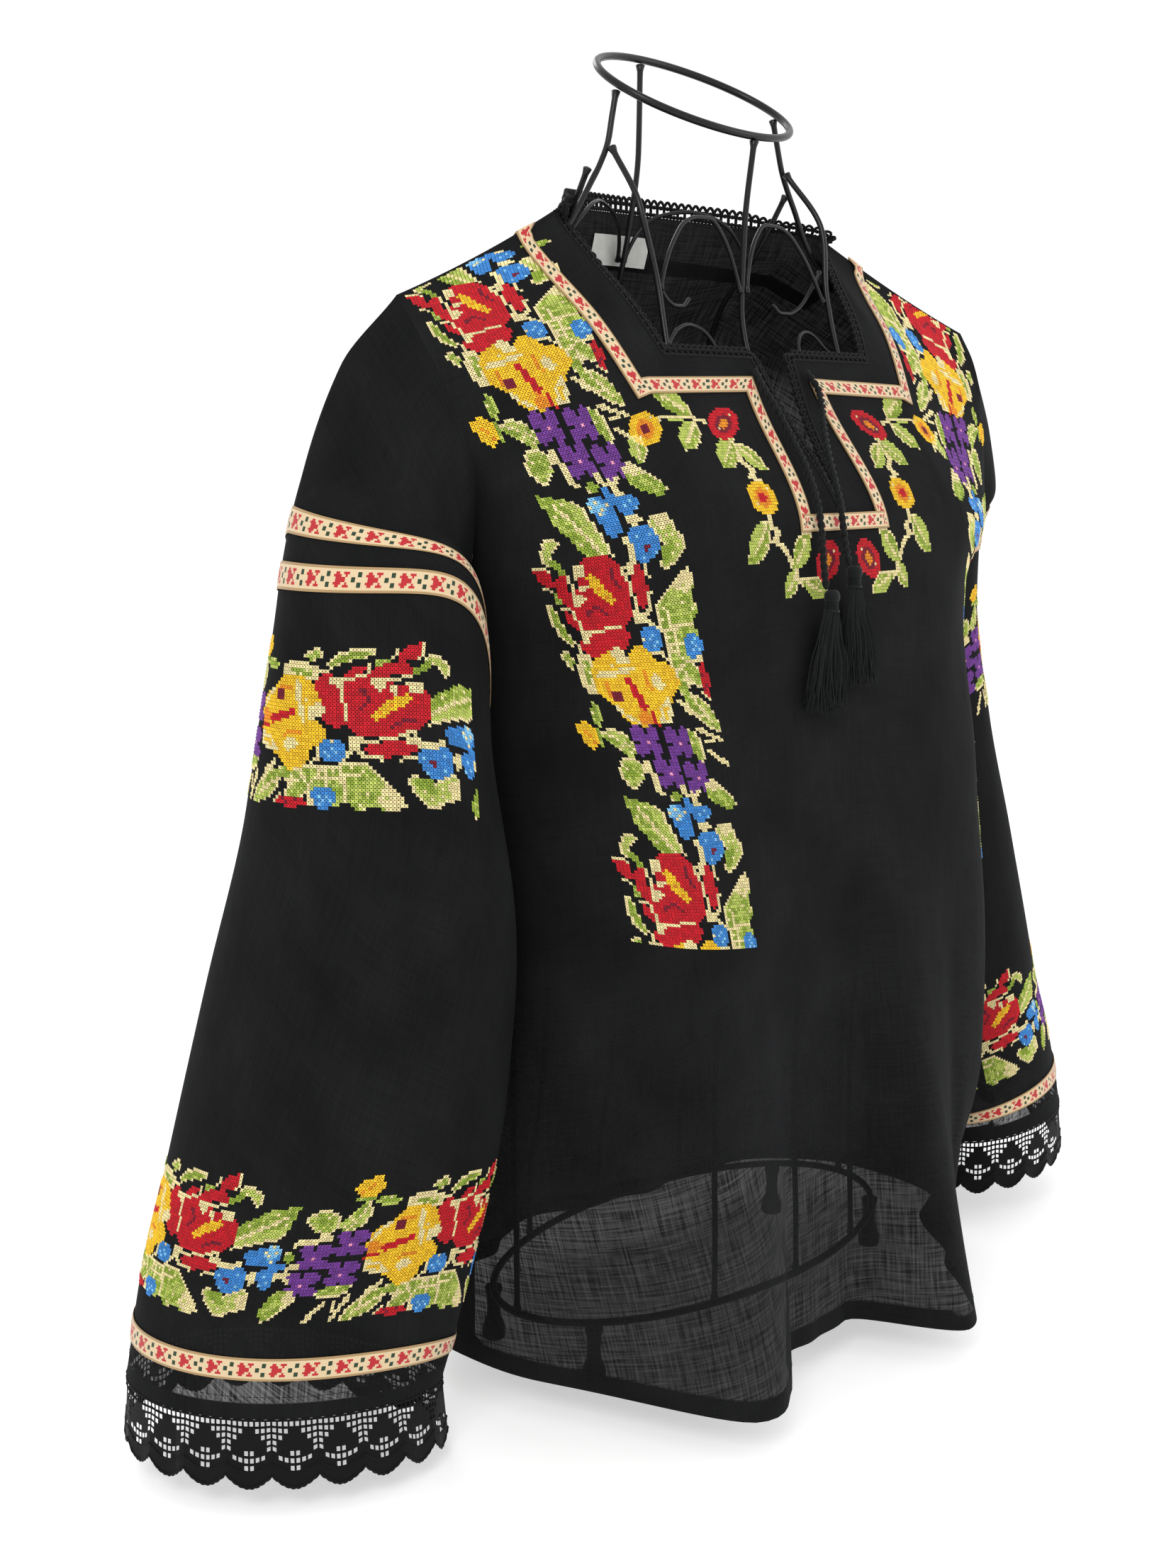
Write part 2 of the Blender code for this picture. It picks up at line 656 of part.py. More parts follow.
def cuff_lace(name, ring, outward):
    """Lace that hangs from the cuff's edge, scalloped along the bottom."""
    count = CUFF_SCALLOPS * LACE_POINTS
    closed = np.concatenate([ring, ring[:1]])
    out = np.concatenate([outward, outward[:1]])
    run = np.concatenate([[0], np.cumsum(np.linalg.norm(np.diff(closed, axis=0), axis=1))])
    at = np.arange(count) * run[-1] / count
    top = np.stack([np.interp(at, run, closed[:, k]) for k in range(3)], -1)
    n = unit(np.stack([np.interp(at, run, out[:, k]) for k in range(3)], -1) * (1, 1, 0))
    wave = np.abs(np.sin(np.pi * np.arange(count) / LACE_POINTS))
    deep = CUFF_LACE - SCALLOP_DEEP * (1 - wave)
    top = top - (0, 0, 2 * SEAM_GAP)
    bottom = top - np.stack([0 * deep, 0 * deep, deep], -1) + n * LACE_FLARE
    strip(name, top, bottom, n, "lace", LACE_THICK, -LACE_THICK, True)


def curve_points(path, count):
    """Evenly spaced points of the smooth curve through a path."""
    path = np.asarray(path, float)
    run = np.concatenate([[0], np.cumsum(np.linalg.norm(np.diff(path, axis=0), axis=1))])
    at = np.linspace(0, run[-1], count)
    return np.stack([through(run, path[:, k], at) for k in range(3)], -1)


def tube(name, path, radius, kind, sides, count):
    """Round wire or cord along a smooth curve through its own points."""
    points = curve_points(path, count)
    curve = bpy.data.curves.new(name, "CURVE")
    curve.dimensions = "3D"
    curve.bevel_depth = radius
    curve.bevel_resolution = sides
    curve.use_fill_caps = True
    spline = curve.splines.new("POLY")
    spline.points.add(len(points) - 1)
    for place, point in zip(spline.points, points):
        place.co = (*point, 1)
    curve.materials.append(material(kind))
    item = bpy.data.objects.new(name, curve)
    bpy.context.collection.objects.link(item)
    return item


def hoop(name, centre, half, tilt, radius, count=44, sides=6):
    """Closed elliptical ring of round wire."""
    angle = np.arange(count) * 2 * np.pi / count
    across = np.stack([half[0] * np.cos(angle), half[1] * np.sin(angle), 0 * angle], -1)
    outward = unit(np.stack([half[1] * np.cos(angle), half[0] * np.sin(angle), 0 * angle], -1))
    grid = []
    for k in range(sides):
        turn = 2 * np.pi * k / sides
        grid.append(across + radius * (outward * np.cos(turn) + np.array([0, 0, np.sin(turn)])))
    grid = np.array(grid)
    lean = np.array([[1, 0, 0], [0, np.cos(tilt), -np.sin(tilt)], [0, np.sin(tilt), np.cos(tilt)]])
    points = (grid @ lean.T + np.array(centre)).reshape(-1, 3)
    faces = []
    for k in range(sides):
        for j in range(count):
            a, b = k * count + j, k * count + (j + 1) % count
            c, d = ((k + 1) % sides) * count + (j + 1) % count, ((k + 1) % sides) * count + j
            faces.append((a, b, c, d))
    return add_mesh(name, points, faces, "wire")


def on_front(x, z, out):
    """Point a distance out from the front's outer face, at x and at a height."""
    down = float(level_of(x, z))
    return body_point(x, down) + surface_normal(x, down, False) * out


def tie_cord(side, stations):
    """Twisted tie, from the slit's top corner down over the placket. stations: x, z, out."""
    path = [on_front(x * MM, z * MM, CORD_RADIUS + out * MM) for x, z, out in stations]
    tube("tie_cord_" + side, path, CORD_RADIUS, "cord", 2, 13)
    return path[-1]


def tassel(side, top):
    """Head with a skirt of square strands drawn out of its underside."""
    radius, high = TASSEL_HEAD
    sectors, rings = 12, (0.25, 0.5, 0.75, 1.0)
    outline = ((0.35, 0), (0.85, 0.12), (1.0, 0.35), (0.8, 0.62), (0.95, 0.8), (1.0, 1.0))
    points = [top]
    faces = []
    for wide, fall in outline:
        for k in range(sectors):
            turn = 2 * np.pi * k / sectors
            points.append(top + np.array([radius * wide * np.cos(turn),
                                          radius * wide * np.sin(turn), -high * fall]))
    for k in range(sectors):
        faces.append((0, 1 + k, 1 + (k + 1) % sectors))
    for i in range(len(outline) - 1):
        for k in range(sectors):
            a, b = 1 + i * sectors + k, 1 + i * sectors + (k + 1) % sectors
            faces.append((a, a + sectors, b + sectors, b))
    base = top - np.array([0, 0, high])
    rim = 1 + (len(outline) - 1) * sectors
    ring_at = {len(rings) - 1: rim}
    for i, wide in enumerate(rings[:-1]):
        ring_at[i] = len(points)
        for k in range(sectors):
            turn = 2 * np.pi * k / sectors
            points.append(base + radius * wide * np.array([np.cos(turn), np.sin(turn), 0]))
    centre = len(points)
    points.append(base)
    for k in range(sectors):
        faces.append((centre, ring_at[0] + (k + 1) % sectors, ring_at[0] + k))
    for i in range(len(rings) - 1):
        for k in range(sectors):
            a, b = ring_at[i] + k, ring_at[i] + (k + 1) % sectors
            c, d = ring_at[i + 1] + (k + 1) % sectors, ring_at[i + 1] + k
            if (i + k) % 2 or i == 0 and k % 4:
                faces.append((a, b, c, d))
                continue
            spread = (i + 1.5) / len(rings)
            lean = TASSEL_LEAN if side == "left" else -TASSEL_LEAN
            strand(points, faces, (a, b, c, d), base, 2 * np.pi * (k + 0.5) / sectors, spread, lean)
    return add_mesh("tassel_" + side, points, faces, "cord")


def strand(points, faces, root, base, turn, spread, lean):
    """Draws one strand down out of a four-cornered face of the tassel's underside."""
    long = TASSEL_LONG - TASSEL_HEAD[1]
    last = root
    for fall, open_out in ((0.35, 0.62), (1.0, 1.0)):
        middle = base + np.array([fall * lean + TASSEL_SPREAD[0] * open_out * spread * np.cos(turn),
                                  TASSEL_SPREAD[1] * open_out * spread * np.sin(turn),
                                  -long * fall * (0.94 + 0.06 * np.sin(7 * turn + 9 * spread))])
        ring = []
        for k in (0.5, 1.5, 2.5, 3.5):
            corner = turn + np.pi * 1.0 + k * np.pi / 2
            ring.append(len(points))
            points.append(middle + STRAND_RADIUS * np.array([np.cos(corner), np.sin(corner), 0]))
        order = [ring[0], ring[3], ring[2], ring[1]]
        for k in range(4):
            faces.append((last[k], last[(k + 1) % 4], order[(k + 1) % 4], order[k]))
        last = order
    faces.append(tuple(last))


# Wire form. Points in millimetres on the wearer's left (+x); the right side mirrors them.
SIDE_WIRES = (
    ("shoulder", RIB_WIRE, 18, (
        (69.5, 38.5, 702.5), (74, 38, 686), (78.5, 37.5, 671), (86, 37.5, 659), (95, 38, 646),
        (103, 38.5, 634), (112, 38.5, 624.5), (121, 37.5, 618.5), (132, 35.5, 615),
        (160, 31, 607),
        (195, 25.5, 594.5), (220, 22.5, 586.5), (233, 20.5, 578), (237.5, 20.5, 568),
        (237, 22, 556))),
    ("side_rib", RIB_WIRE, 13, (
        (236.9, 22.1, 555), (229, 27, 528), (212, 32, 490), (188, 36, 445), (170, 37, 385),
        (162, 36, 340), (158, 36, 280), (156, 36, 200), (156, 36, 120), (155, 35, 60),
        (155, 35, 22.6))),
    ("front_rib", RIB_WIRE, 17, (
        (77.5, 34, 671.5), (81, 25, 661), (83, 16, 650), (81, 8.5, 635), (78.5, 4, 619),
        (76.5, 1.5, 601), (76, -1, 582), (78, -8, 560), (84, -27, 530), (88, -46, 500),
        (90, -62.5, 462),
        (91, -68.5, 420), (89, -68, 385), (78, -55, 310), (68, -42, 230), (65, -36, 130),
        (66, -38, 60), (67, -39, 22.6))),
    ("back_rib", RIB_WIRE, 17, (
        (88, 42.5, 660.5), (91, 47, 649), (90, 54, 636), (84, 68, 622), (81, 84, 600),
        (82, 101, 560), (84, 112, 510), (85, 119, 450), (84, 116, 385), (76, 98, 300),
        (70, 92, 210), (70, 98, 120), (72, 107, 60), (72, 107.6, 22.6))),
    ("front_arch", SCROLL_WIRE, 11, (
        (3.6, 3, 597), (7, 5, 612), (15, 7, 628), (28, 8, 637), (42, 8, 635),
        (56, 6.5, 624), (67, 4, 608), (73, 1.8, 595))),
    ("low_arch", SCROLL_WIRE, 8, (
        (36, -14, 552), (38, -8, 565), (46, -3, 575), (56, -1, 577), (66, -1.5, 571),
        (73, -5, 562.5))),
    ("back_arch", SCROLL_WIRE, 11, (
        (3.6, 99, 620), (8, 92, 636), (22, 86, 647), (40, 78, 650), (58, 69, 645),
        (72, 66, 634), (80.5, 70, 623.5))),
    ("leaf", SCROLL_WIRE, 8, (
        (74, 7.5, 613), (68, 8.5, 600), (58, 9.5, 590), (47, 10.5, 587), (38, 11.5, 592))),
)
MIDDLE_WIRES = (
    ("front_middle", RIB_WIRE, 16, (
        (0, -3, 679.5), (0, -1, 660), (0, 3, 634), (0, 5, 605), (0, 4, 580), (0, -4, 552),
        (0, -26, 510), (0, -52, 466), (0, -66, 430), (0, -68, 390), (0, -58, 320),
        (0, -47, 240), (0, -43, 140), (0, -46, 60), (0, -47, 22.6))),
    ("back_middle", RIB_WIRE, 16, (
        (0, 83, 730.5), (0, 83, 700), (0, 84.5, 678), (0, 88, 658), (0, 91, 640),
        (0, 96.5, 618), (0, 107, 580), (0, 120, 520), (0, 126, 460), (0, 125, 400),
        (0, 108, 310), (0, 100, 220), (0, 104, 120), (0, 114, 60), (0, 117, 22.6))),
)


# Where the small wires are welded on: which end, and the wire that carries it
SEATS = {
    "front_arch": ((0, "front_middle"), (-1, "front_rib")),
    "low_arch": ((-1, "front_rib"),),
    "back_arch": ((0, "back_middle"), (-1, "back_rib")),
    "leaf": ((0, "front_rib"),),
}


def seated(name, path):
    """The path of a small wire with its ends moved up to the wires that carry them."""
    path = np.array(path, float)
    wires = {wire[0]: wire[2:] for wire in SIDE_WIRES + MIDDLE_WIRES}
    for end, carrier in SEATS.get(name, ()):
        count, line = wires[carrier]
        corners = curve_points(line, count)
        fine = np.concatenate([np.linspace(a, b, 40) for a, b in zip(corners[:-1], corners[1:])])
        near = fine[np.argmin(np.linalg.norm(fine - path[end], axis=1))]
        reach = (RIB_WIRE + SCROLL_WIRE + JOINT_GAP) / MM
        path[end] = near + unit(path[end] - near) * reach
    return path


def wire_form():
    """The wires, and feet that reach down to the floor after the whole object is placed."""
    hoop("form_neck_ring", NECK_RING, NECK_RING_HALF, NECK_RING_TILT, RING_WIRE)
    hoop("form_hoop", (0, HOOP_CENTRE_Y, HOOP_Z), HOOP_HALF, 0, RING_WIRE)
    for name, radius, count, path in MIDDLE_WIRES:
        tube("form_" + name, np.array(path) * MM, radius, "wire", 1, count)
    for name, radius, count, path in SIDE_WIRES:
        for side, sign in (("right", -1), ("left", 1)):
            points = seated(name, path) * MM * (sign, 1, 1)
            tube("form_" + name + "_" + side, points, radius, "wire", 1, count)
    for angle in FOOT_ANGLES:
        turn = math.radians(angle)
        high = HOOP_Z - RING_WIRE - JOINT_GAP + PLACE[2]
        bpy.ops.mesh.primitive_cylinder_add(
            vertices=16, radius=FOOT_RADIUS, depth=high,
            location=(HOOP_HALF[0] * math.cos(turn),
                      HOOP_CENTRE_Y + HOOP_HALF[1] * math.sin(turn), high / 2 - PLACE[2]))
        foot = bpy.context.object
        foot.name = "form_foot_%d" % angle
        foot.data.materials.append(material("wire"))


def label():
    """Woven label inside the back neck, facing forward."""
    wide, high, thick = LABEL_SIZE
    levels = (LABEL_TOP, LABEL_TOP + high / LEVEL_LONG)
    rows = []
    normals = []
    for down in levels:
        xs = np.linspace(wide / 2, -wide / 2, 5)
        points = np.array([body_point(x, down, True) for x in xs])
        n = np.array([surface_normal(x, down, True) for x in xs])
        rows.append(points - n * (WALL + LABEL_LIFT))
        normals.append(n)
    wall("label", np.array(rows), np.array(normals), "label", thick=thick)


def blouse():
    front = front_grid()
    back = back_grid(front)
    sleeves = {1: sleeve_grid(1, front, back), -1: sleeve_grid(-1, front, back)}
    panels = {"front": (front, False, 1), "back": (back, False, 1),
              "sleeve_left": (sleeves[1], True, -1), "sleeve_right": (sleeves[-1], True, 1)}
    seams = Seams()
    raw = {}
    for name, (grid, closed, sign) in panels.items():
        raw[name] = face_normals(grid, closed) * sign
        seams.add(grid, raw[name])
    normals = {name: seams.read(panels[name][0], raw[name]) for name in panels}

    cells = np.ones((len(LEVELS) - 1, 2 * HALF_COLUMNS - 1), bool)
    for i, down in enumerate(LEVELS[:-1]):
        if down < NECK_LOW:
            cells[i, NECK_RIGHT:NECK_LEFT] = False
        elif down < SLIT_LOW:
            cells[i, SLIT_CELL] = False
    wall("front", draw_back(front, (0,), (0, -1)), normals["front"], cells=cells)
    wall("back", draw_back(back, (0,), (0, -1)), normals["back"])
    for side, sign in (("right", -1), ("left", 1)):
        name = "sleeve_" + side
        grid = draw_back(sleeves[sign], (0,))
        n = normals[name]
        wall(name, grid, n, closed=True, flip=sign > 0)
        bands = (("arm_ribbon_upper_", ARM_RIBBONS[0]), ("arm_ribbon_lower_", ARM_RIBBONS[1]),
                 ("cuff_ribbon_", CUFF_RIBBON))
        for start, (low, high) in bands:
            rows = (SLEEVE_ALONG.index(low), SLEEVE_ALONG.index(high))
            ribbon_round_sleeve(start + side, grid, n, rows)
        cuff_lace("cuff_lace_" + side, grid[-1], n[-1])
    neck_lace({"front": front, "back": back}, normals)


def ties():
    right = tie_cord("right", CORD_RIGHT)
    left = tie_cord("left", CORD_LEFT)
    for side, end in (("right", right), ("left", left)):
        tassel(side, end + np.array([0, -TASSEL_FORWARD, -JOINT_GAP]))


def main():
    clear_scene()
    blouse()
    neck_ribbon()
    label()
    ties()
    wire_form()
    for item in bpy.data.objects:
        item.location += Vector(PLACE)


main()
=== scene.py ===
# %% [markdown]
# # A black embroidered blouse on a wire form
# The blouse is made of a few flat pieces of thin black cotton. Everything else sits on them:
# counted cross-stitch, woven ribbon, crochet lace and two ties. The form inside is bent and
# welded wire. This lesson starts from the plain solids, which fix every size, and puts the cloth,
# the stitches and the wire over them, piece by piece, each at the place its solid holds.

# %% Load the fixed frame
import math

import bpy
import numpy as np
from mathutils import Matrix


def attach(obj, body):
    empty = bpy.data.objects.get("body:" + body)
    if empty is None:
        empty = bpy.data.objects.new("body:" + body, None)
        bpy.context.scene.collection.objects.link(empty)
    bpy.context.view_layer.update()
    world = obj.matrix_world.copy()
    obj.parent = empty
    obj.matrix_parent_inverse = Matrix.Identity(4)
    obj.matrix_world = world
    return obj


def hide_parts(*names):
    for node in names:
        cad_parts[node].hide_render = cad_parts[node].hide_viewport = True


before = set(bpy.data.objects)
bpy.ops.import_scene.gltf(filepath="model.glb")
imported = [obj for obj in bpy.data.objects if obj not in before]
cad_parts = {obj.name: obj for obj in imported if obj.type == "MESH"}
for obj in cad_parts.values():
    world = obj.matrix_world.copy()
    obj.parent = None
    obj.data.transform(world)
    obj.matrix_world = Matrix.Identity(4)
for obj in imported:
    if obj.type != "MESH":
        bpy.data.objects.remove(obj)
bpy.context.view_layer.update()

MM = 0.001
PLACE = np.array([15, 0.8, 15]) * MM      # from the pattern's own origin to the floor's
SIDES = (("right", -1), ("left", 1))      # the wearer's sides, and the sign of x there
UP = np.array([0, 0, 1.0])

# %% [markdown]
# ## The camera
# The blouse was photographed from a little above the shoulder, 47 degrees round to the wearer's
# right, from 1.17 m away. That close, the near sleeve looks larger than the far one, so the
# distance matters as much as the direction. Two angles set the camera, which isn't rolled.

# %% Camera
CAMERA_AT = (-0.8927, -0.7284, 0.5300)
CAMERA_ROUND, CAMERA_DOWN = math.radians(-46.74), math.radians(9.87)

lens = bpy.data.cameras.new("camera")
lens.sensor_fit, lens.sensor_height, lens.lens, lens.clip_end = "VERTICAL", 36, 45.57, 60
camera = bpy.data.objects.new("camera", lens)
camera.location = CAMERA_AT
camera.rotation_euler = (math.pi / 2 - CAMERA_DOWN, 0, CAMERA_ROUND)
bpy.context.scene.collection.objects.link(camera)
bpy.context.scene.camera = camera
print("camera at", CAMERA_AT)

# %% [markdown]
# ## Small tools for numbers
# Cloth is easiest to draw from tables: a few measured rows, and a smooth curve through them. The
# curve keeps level where a column turns, so that a fold doesn't overshoot its neighbours.


# %% A smooth curve through a table
def through(xs, ys, x):
    xs, ys, x = np.asarray(xs, float), np.asarray(ys, float), np.asarray(x, float)
    step = np.diff(xs)
    slope = np.diff(ys) / step
    lean = np.empty(len(xs))
    lean[0], lean[-1] = slope[0], slope[-1]
    same = slope[:-1] * slope[1:] > 0
    total = np.where(same, slope[:-1] + slope[1:], 1)
    lean[1:-1] = np.where(same, 2 * slope[:-1] * slope[1:] / total, 0)
    i = np.clip(np.searchsorted(xs, x, side="right") - 1, 0, len(xs) - 2)
    h = step[i]
    t = (x - xs[i]) / h
    start = ys[i] * (2 * t**3 - 3 * t**2 + 1) + lean[i] * h * (t**3 - 2 * t**2 + t)
    end = ys[i + 1] * (3 * t**2 - 2 * t**3) + lean[i + 1] * h * (t**3 - t**2)
    return start + end


class Table:
    """Named columns in millimetres; the key, angles and shapes stay plain numbers."""

    PLAIN = ("down", "along", "row", "turn", "front_square", "back_square")

    def __init__(self, names, *rows):
        self.key = names.split()[0]
        self.columns = {name: column if name in self.PLAIN else column * MM
                        for name, column in zip(names.split(), np.array(rows, float).T)}

    def __call__(self, name, at):
        return through(self.columns[self.key], self.columns[name], at)


def smooth_step(t):
    t = np.clip(t, 0, 1)
    return t * t * (3 - 2 * t)


def unit(v):
    return v / np.maximum(np.linalg.norm(v, axis=-1, keepdims=True), 1e-12)


def run_of(line):
    """Length along a line of points, from its start to each point."""
    return np.concatenate([[0], np.cumsum(np.linalg.norm(np.diff(line, axis=0), axis=1))])


def read_line(at, places, line):
    """The points of a line that lie at the given places along it."""
    return np.stack([np.interp(at, places, line[:, k]) for k in range(3)], -1)


def curve_points(path, count):
    path = np.asarray(path, float)
    run = run_of(path)
    at = np.linspace(0, run[-1], count)
    return np.stack([through(run, path[:, k], at) for k in range(3)], -1)


print("halfway up a curve:", float(through([0, 1, 2], [0, 1, 1.5], 0.5)))

# %% [markdown]
# ## How the body of the blouse hangs
# The body is a tube of cloth that is flat at the shoulders, boxy at the chest where the form
# holds it out, and open in deep flutes at the hem. One table gives a row for each level: how far
# out the side seam is, how deep the centre front and back are, and how boxy the section is.
# Level 0 is the shoulder ridge, 1 the underarm and 2 the hem.

# %% The body's table
HEM_Z, UNDERARM_Z, NECK_POINT_Z, NECK_POINT_X = 8 * MM, 385 * MM, 638 * MM, 115 * MM
BODY = Table(
    "down side_x front_side_y back_side_y front_y back_y front_square back_square",
    (0.00, 249, 18.5, 18.5, 53, 100, 1.0, 1.3),
    (0.10, 246, 6, 32, 24, 108, 1.6, 1.7),
    (0.22, 240, -4, 52, -4, 116, 2.2, 2.2),
    (0.42, 228, -12, 76, -33, 126, 2.7, 2.6),
    (0.67, 208, 10, 70, -71, 132, 3.0, 2.8),
    (0.82, 191, 38, 38, -76, 134, 3.1, 2.9),
    (1.00, 181, 38, 38, -79, 134, 3.4, 3.0),
    (1.20, 182, 38, 38, -82, 133, 4.3, 2.9),
    (1.45, 188, 37, 37, -88, 131, 4.5, 2.7),
    (1.75, 193, 36, 36, -92, 129, 3.8, 2.6),
    (2.00, 196, 34, 34, -95, 127, 2.6, 2.6),
)
RIDGE_DROP, RIDGE_EASE = 0.47, 0.5        # fall of the ridge for each metre out, and its easing
RIDGE_MIDDLE_Y, RIDGE_FORWARD = 53 * MM, 34.5 / 249
BACK_EASE, BACK_NECK_RISE = 0.25, 10 * MM


def ridge(x):
    """y and height of the shoulder ridge at a distance x from the middle."""
    out = np.maximum(np.abs(x) - NECK_POINT_X, 0)
    z = NECK_POINT_Z - RIDGE_DROP * out + RIDGE_EASE * out**2
    return RIDGE_MIDDLE_Y - RIDGE_FORWARD * np.abs(x), z


print("ridge at the shoulder seam, mm:", [round(float(v) / MM, 1) for v in ridge(0.249)])

# %% [markdown]
# ## Folds
# Thin cotton that hangs from two shoulders falls in a few soft flutes, and between them it is
# never quite flat. The large flutes are in the solid too. The small ones are only here: shallow,
# a few millimetres deep, fading out towards the seams, where the stitching holds the cloth.

# %% Large and small folds
# x of the crest, depth at the hem, reach towards -x, reach towards +x, level where it begins
FRONT_FOLDS = ((-142, 64, 48, 85, 1.05), (28, 58, 42, 80, 1.15), (152, -30, 55, 44, 1.70))
BACK_FOLDS = ((-30, 24, 65, 60, 1.15), (150, 10, 50, 46, 1.15))
FINE_FRONT = ((-96, 3.5, 17, 22, 1.05), (-52, 2.5, 20, 16, 1.25), (78, 3, 22, 18, 1.2),
              (112, 3, 16, 20, 1.35), (-8, -2.5, 18, 16, 1.5))
FINE_BACK = ((-110, 6, 26, 30, 0.9), (-68, 4, 20, 18, 1.2), (30, 5, 26, 30, 1.0),
             (92, 5, 24, 26, 0.85), (60, -3, 18, 18, 1.4))
FOLD_POWER = 1.5


def crest(x, at, minus, plus):
    """1 on a fold's crest, falling to 0 where its reach ends on either side."""
    away = x - at * MM
    return 0.5 + 0.5 * np.cos(np.pi * np.clip(away / (np.where(away < 0, minus, plus) * MM), -1, 1))


def folds_at(rows, x, down):
    return sum(depth * MM * crest(x, at, minus, plus)
               * np.clip((down - start) / (2 - start), 0, 1) ** FOLD_POWER
               for at, depth, minus, plus, start in rows)


def drag(x, down):
    """Faint slanting creases where the armhole pulls on the chest."""
    x = np.abs(x)
    wave = np.sin((x / MM + 95 * down) / 9.5)
    held = smooth_step((down - 0.5) / 0.35) * smooth_step((1.35 - down) / 0.4)
    return 0.8 * MM * wave * held * smooth_step((x - 90 * MM) / (45 * MM))


def body_point(x, down, back=False):
    """Point of the cloth at x and at a level, on the front or the back."""
    x, down = np.broadcast_arrays(np.asarray(x, float), np.asarray(down, float))
    face = "back" if back else "front"
    flat = np.clip(np.abs(x) / BODY("side_x", down), 0, 1)
    square = BODY(face + "_square", down)
    edge = BODY(face + "_side_y", down)
    y = edge + (BODY(face + "_y", down) - edge) * (1 - flat**square) ** (1 / square)
    ridge_z = ridge(x)[1]
    if back:
        neck_y = ridge(np.maximum(np.abs(x), NECK_POINT_X))[0]
        inside = np.clip(1 - (x / NECK_POINT_X) ** 2, 0, 1)
        top_y = neck_y + (BODY("back_y", 0) - ridge(NECK_POINT_X)[0]) * inside
        y = top_y + (y - top_y) * (1 - np.clip(1 - down / BACK_EASE, 0, 1) ** 2)
        ridge_z = ridge_z + BACK_NECK_RISE * inside * smooth_step(1 - down / BACK_EASE)
        y = y + folds_at(BACK_FOLDS + FINE_BACK, x, down)
    else:
        y = y - folds_at(FRONT_FOLDS + FINE_FRONT, x, down) - drag(x, down) * (1 - flat**6)
    upper = ridge_z - down * (ridge_z - UNDERARM_Z)
    lower = UNDERARM_Z - (down - 1) * (UNDERARM_Z - HEM_Z)
    return np.stack([x, y, np.where(down < 1, upper, lower)], -1)


def level_of(x, z):
    """Level of the front at a given x and height above the underarm."""
    ridge_z = ridge(x)[1]
    return (ridge_z - z) / (ridge_z - UNDERARM_Z)


def surface_normal(x, down, back=False):
    e = 2 * MM
    across = body_point(x + e, down, back) - body_point(x - e, down, back)
    along = body_point(x, down + 0.01, back) - body_point(x, np.maximum(down - 0.01, 0), back)
    return unit(np.cross(along, across)) * (-1 if back else 1)


print("centre front at the underarm, mm:", np.round(body_point(0, 1.0) / MM, 1))

# %% [markdown]
# ## Measuring along the cloth
# A seamstress measures along the cloth, not through the air. Every ribbon and stitch is placed
# by such a distance from the centre front, so it follows the folds as real cloth would carry it.


# %% Distances along the cloth
def x_at_arc(arcs, down, sign):
    """x of the points that lie arcs metres along the front from the middle, and the whole run."""
    fine = sign * float(BODY("side_x", down)) * np.sin(np.linspace(0, np.pi / 2, 260))
    run = run_of(body_point(fine, down))
    return np.interp(arcs, run, fine), run[-1]


def level_at_length(arc, sign, lengths):
    """Levels of the front that lie the given lengths below the ridge, at one distance out."""
    downs = np.linspace(0, 2, 240)
    line = np.array([body_point(x_at_arc(arc, d, sign)[0], d) for d in downs])
    return np.interp(lengths, run_of(line), downs)


print("half the chest, mm:", round(x_at_arc(0, 1.0, 1)[1] / MM))

# %% [markdown]
# ## Building meshes, and hanging each piece on the frame
# Every piece here ends as a mesh whose points are already in place. One function makes it: it
# takes points, faces, a finish and, where the finish needs them, distances along the cloth in
# millimetres, a colour for each point and a number for each point.

# %% Make a piece
pieces = {}


def make_piece(name, points, faces, finish, uv, colours=None, numbers=None, smooth=True,
               stands_for=None):
    """faces is a list of arrays, each of faces with one number of corners; the rest by point."""
    mesh = bpy.data.meshes.new(name)
    points = points.reshape(-1, 3) + PLACE
    corners = np.concatenate([f.ravel() for f in faces]).astype(np.int32)
    sizes = np.concatenate([np.full(len(f), f.shape[1], np.int32) for f in faces])
    mesh.vertices.add(len(points))
    mesh.vertices.foreach_set("co", points.astype(np.float32).ravel())
    mesh.loops.add(len(corners))
    mesh.loops.foreach_set("vertex_index", corners)
    mesh.polygons.add(len(sizes))
    starts = np.concatenate([[0], np.cumsum(sizes)[:-1]]).astype(np.int32)
    mesh.polygons.foreach_set("loop_start", starts)
    mesh.polygons.foreach_set("loop_total", sizes)
    mesh.update(calc_edges=True)
    layer = mesh.uv_layers.new(name="along_cloth")
    layer.data.foreach_set("uv", uv.astype(np.float32).reshape(-1, 2)[corners].ravel())
    if colours is not None:
        paint = mesh.color_attributes.new("thread", "FLOAT_COLOR", "POINT")
        full = np.ones((len(points), 4), np.float32)
        full[:, :3] = colours
        paint.data.foreach_set("color", full.ravel())
    for label, values in (numbers or {}).items():
        made = mesh.attributes.new(label, "FLOAT", "POINT")
        made.data.foreach_set("value", values.astype(np.float32).ravel())
    mesh.materials.append(finish.material)
    if smooth:
        mesh.shade_smooth()
    item = bpy.data.objects.new(name, mesh)
    bpy.context.scene.collection.objects.link(item)
    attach(item, "root")
    if stands_for:
        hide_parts(stands_for)
    pieces[name] = item
    print("%s: %d points, %d faces" % (name, len(points), len(sizes)))
    return item


def join(parts):
    """Points, faces and uv of several bodies, each given in the same way, as one body."""
    points, faces, uv, offset = [], [], [], 0
    for own_points, own_faces, own_uv in parts:
        points.append(own_points.reshape(-1, 3))
        faces += [f + offset for f in own_faces]
        uv.append(np.asarray(own_uv, float).reshape(-1, 2))
        offset += len(points[-1])
    return np.concatenate(points), faces, np.concatenate(uv)


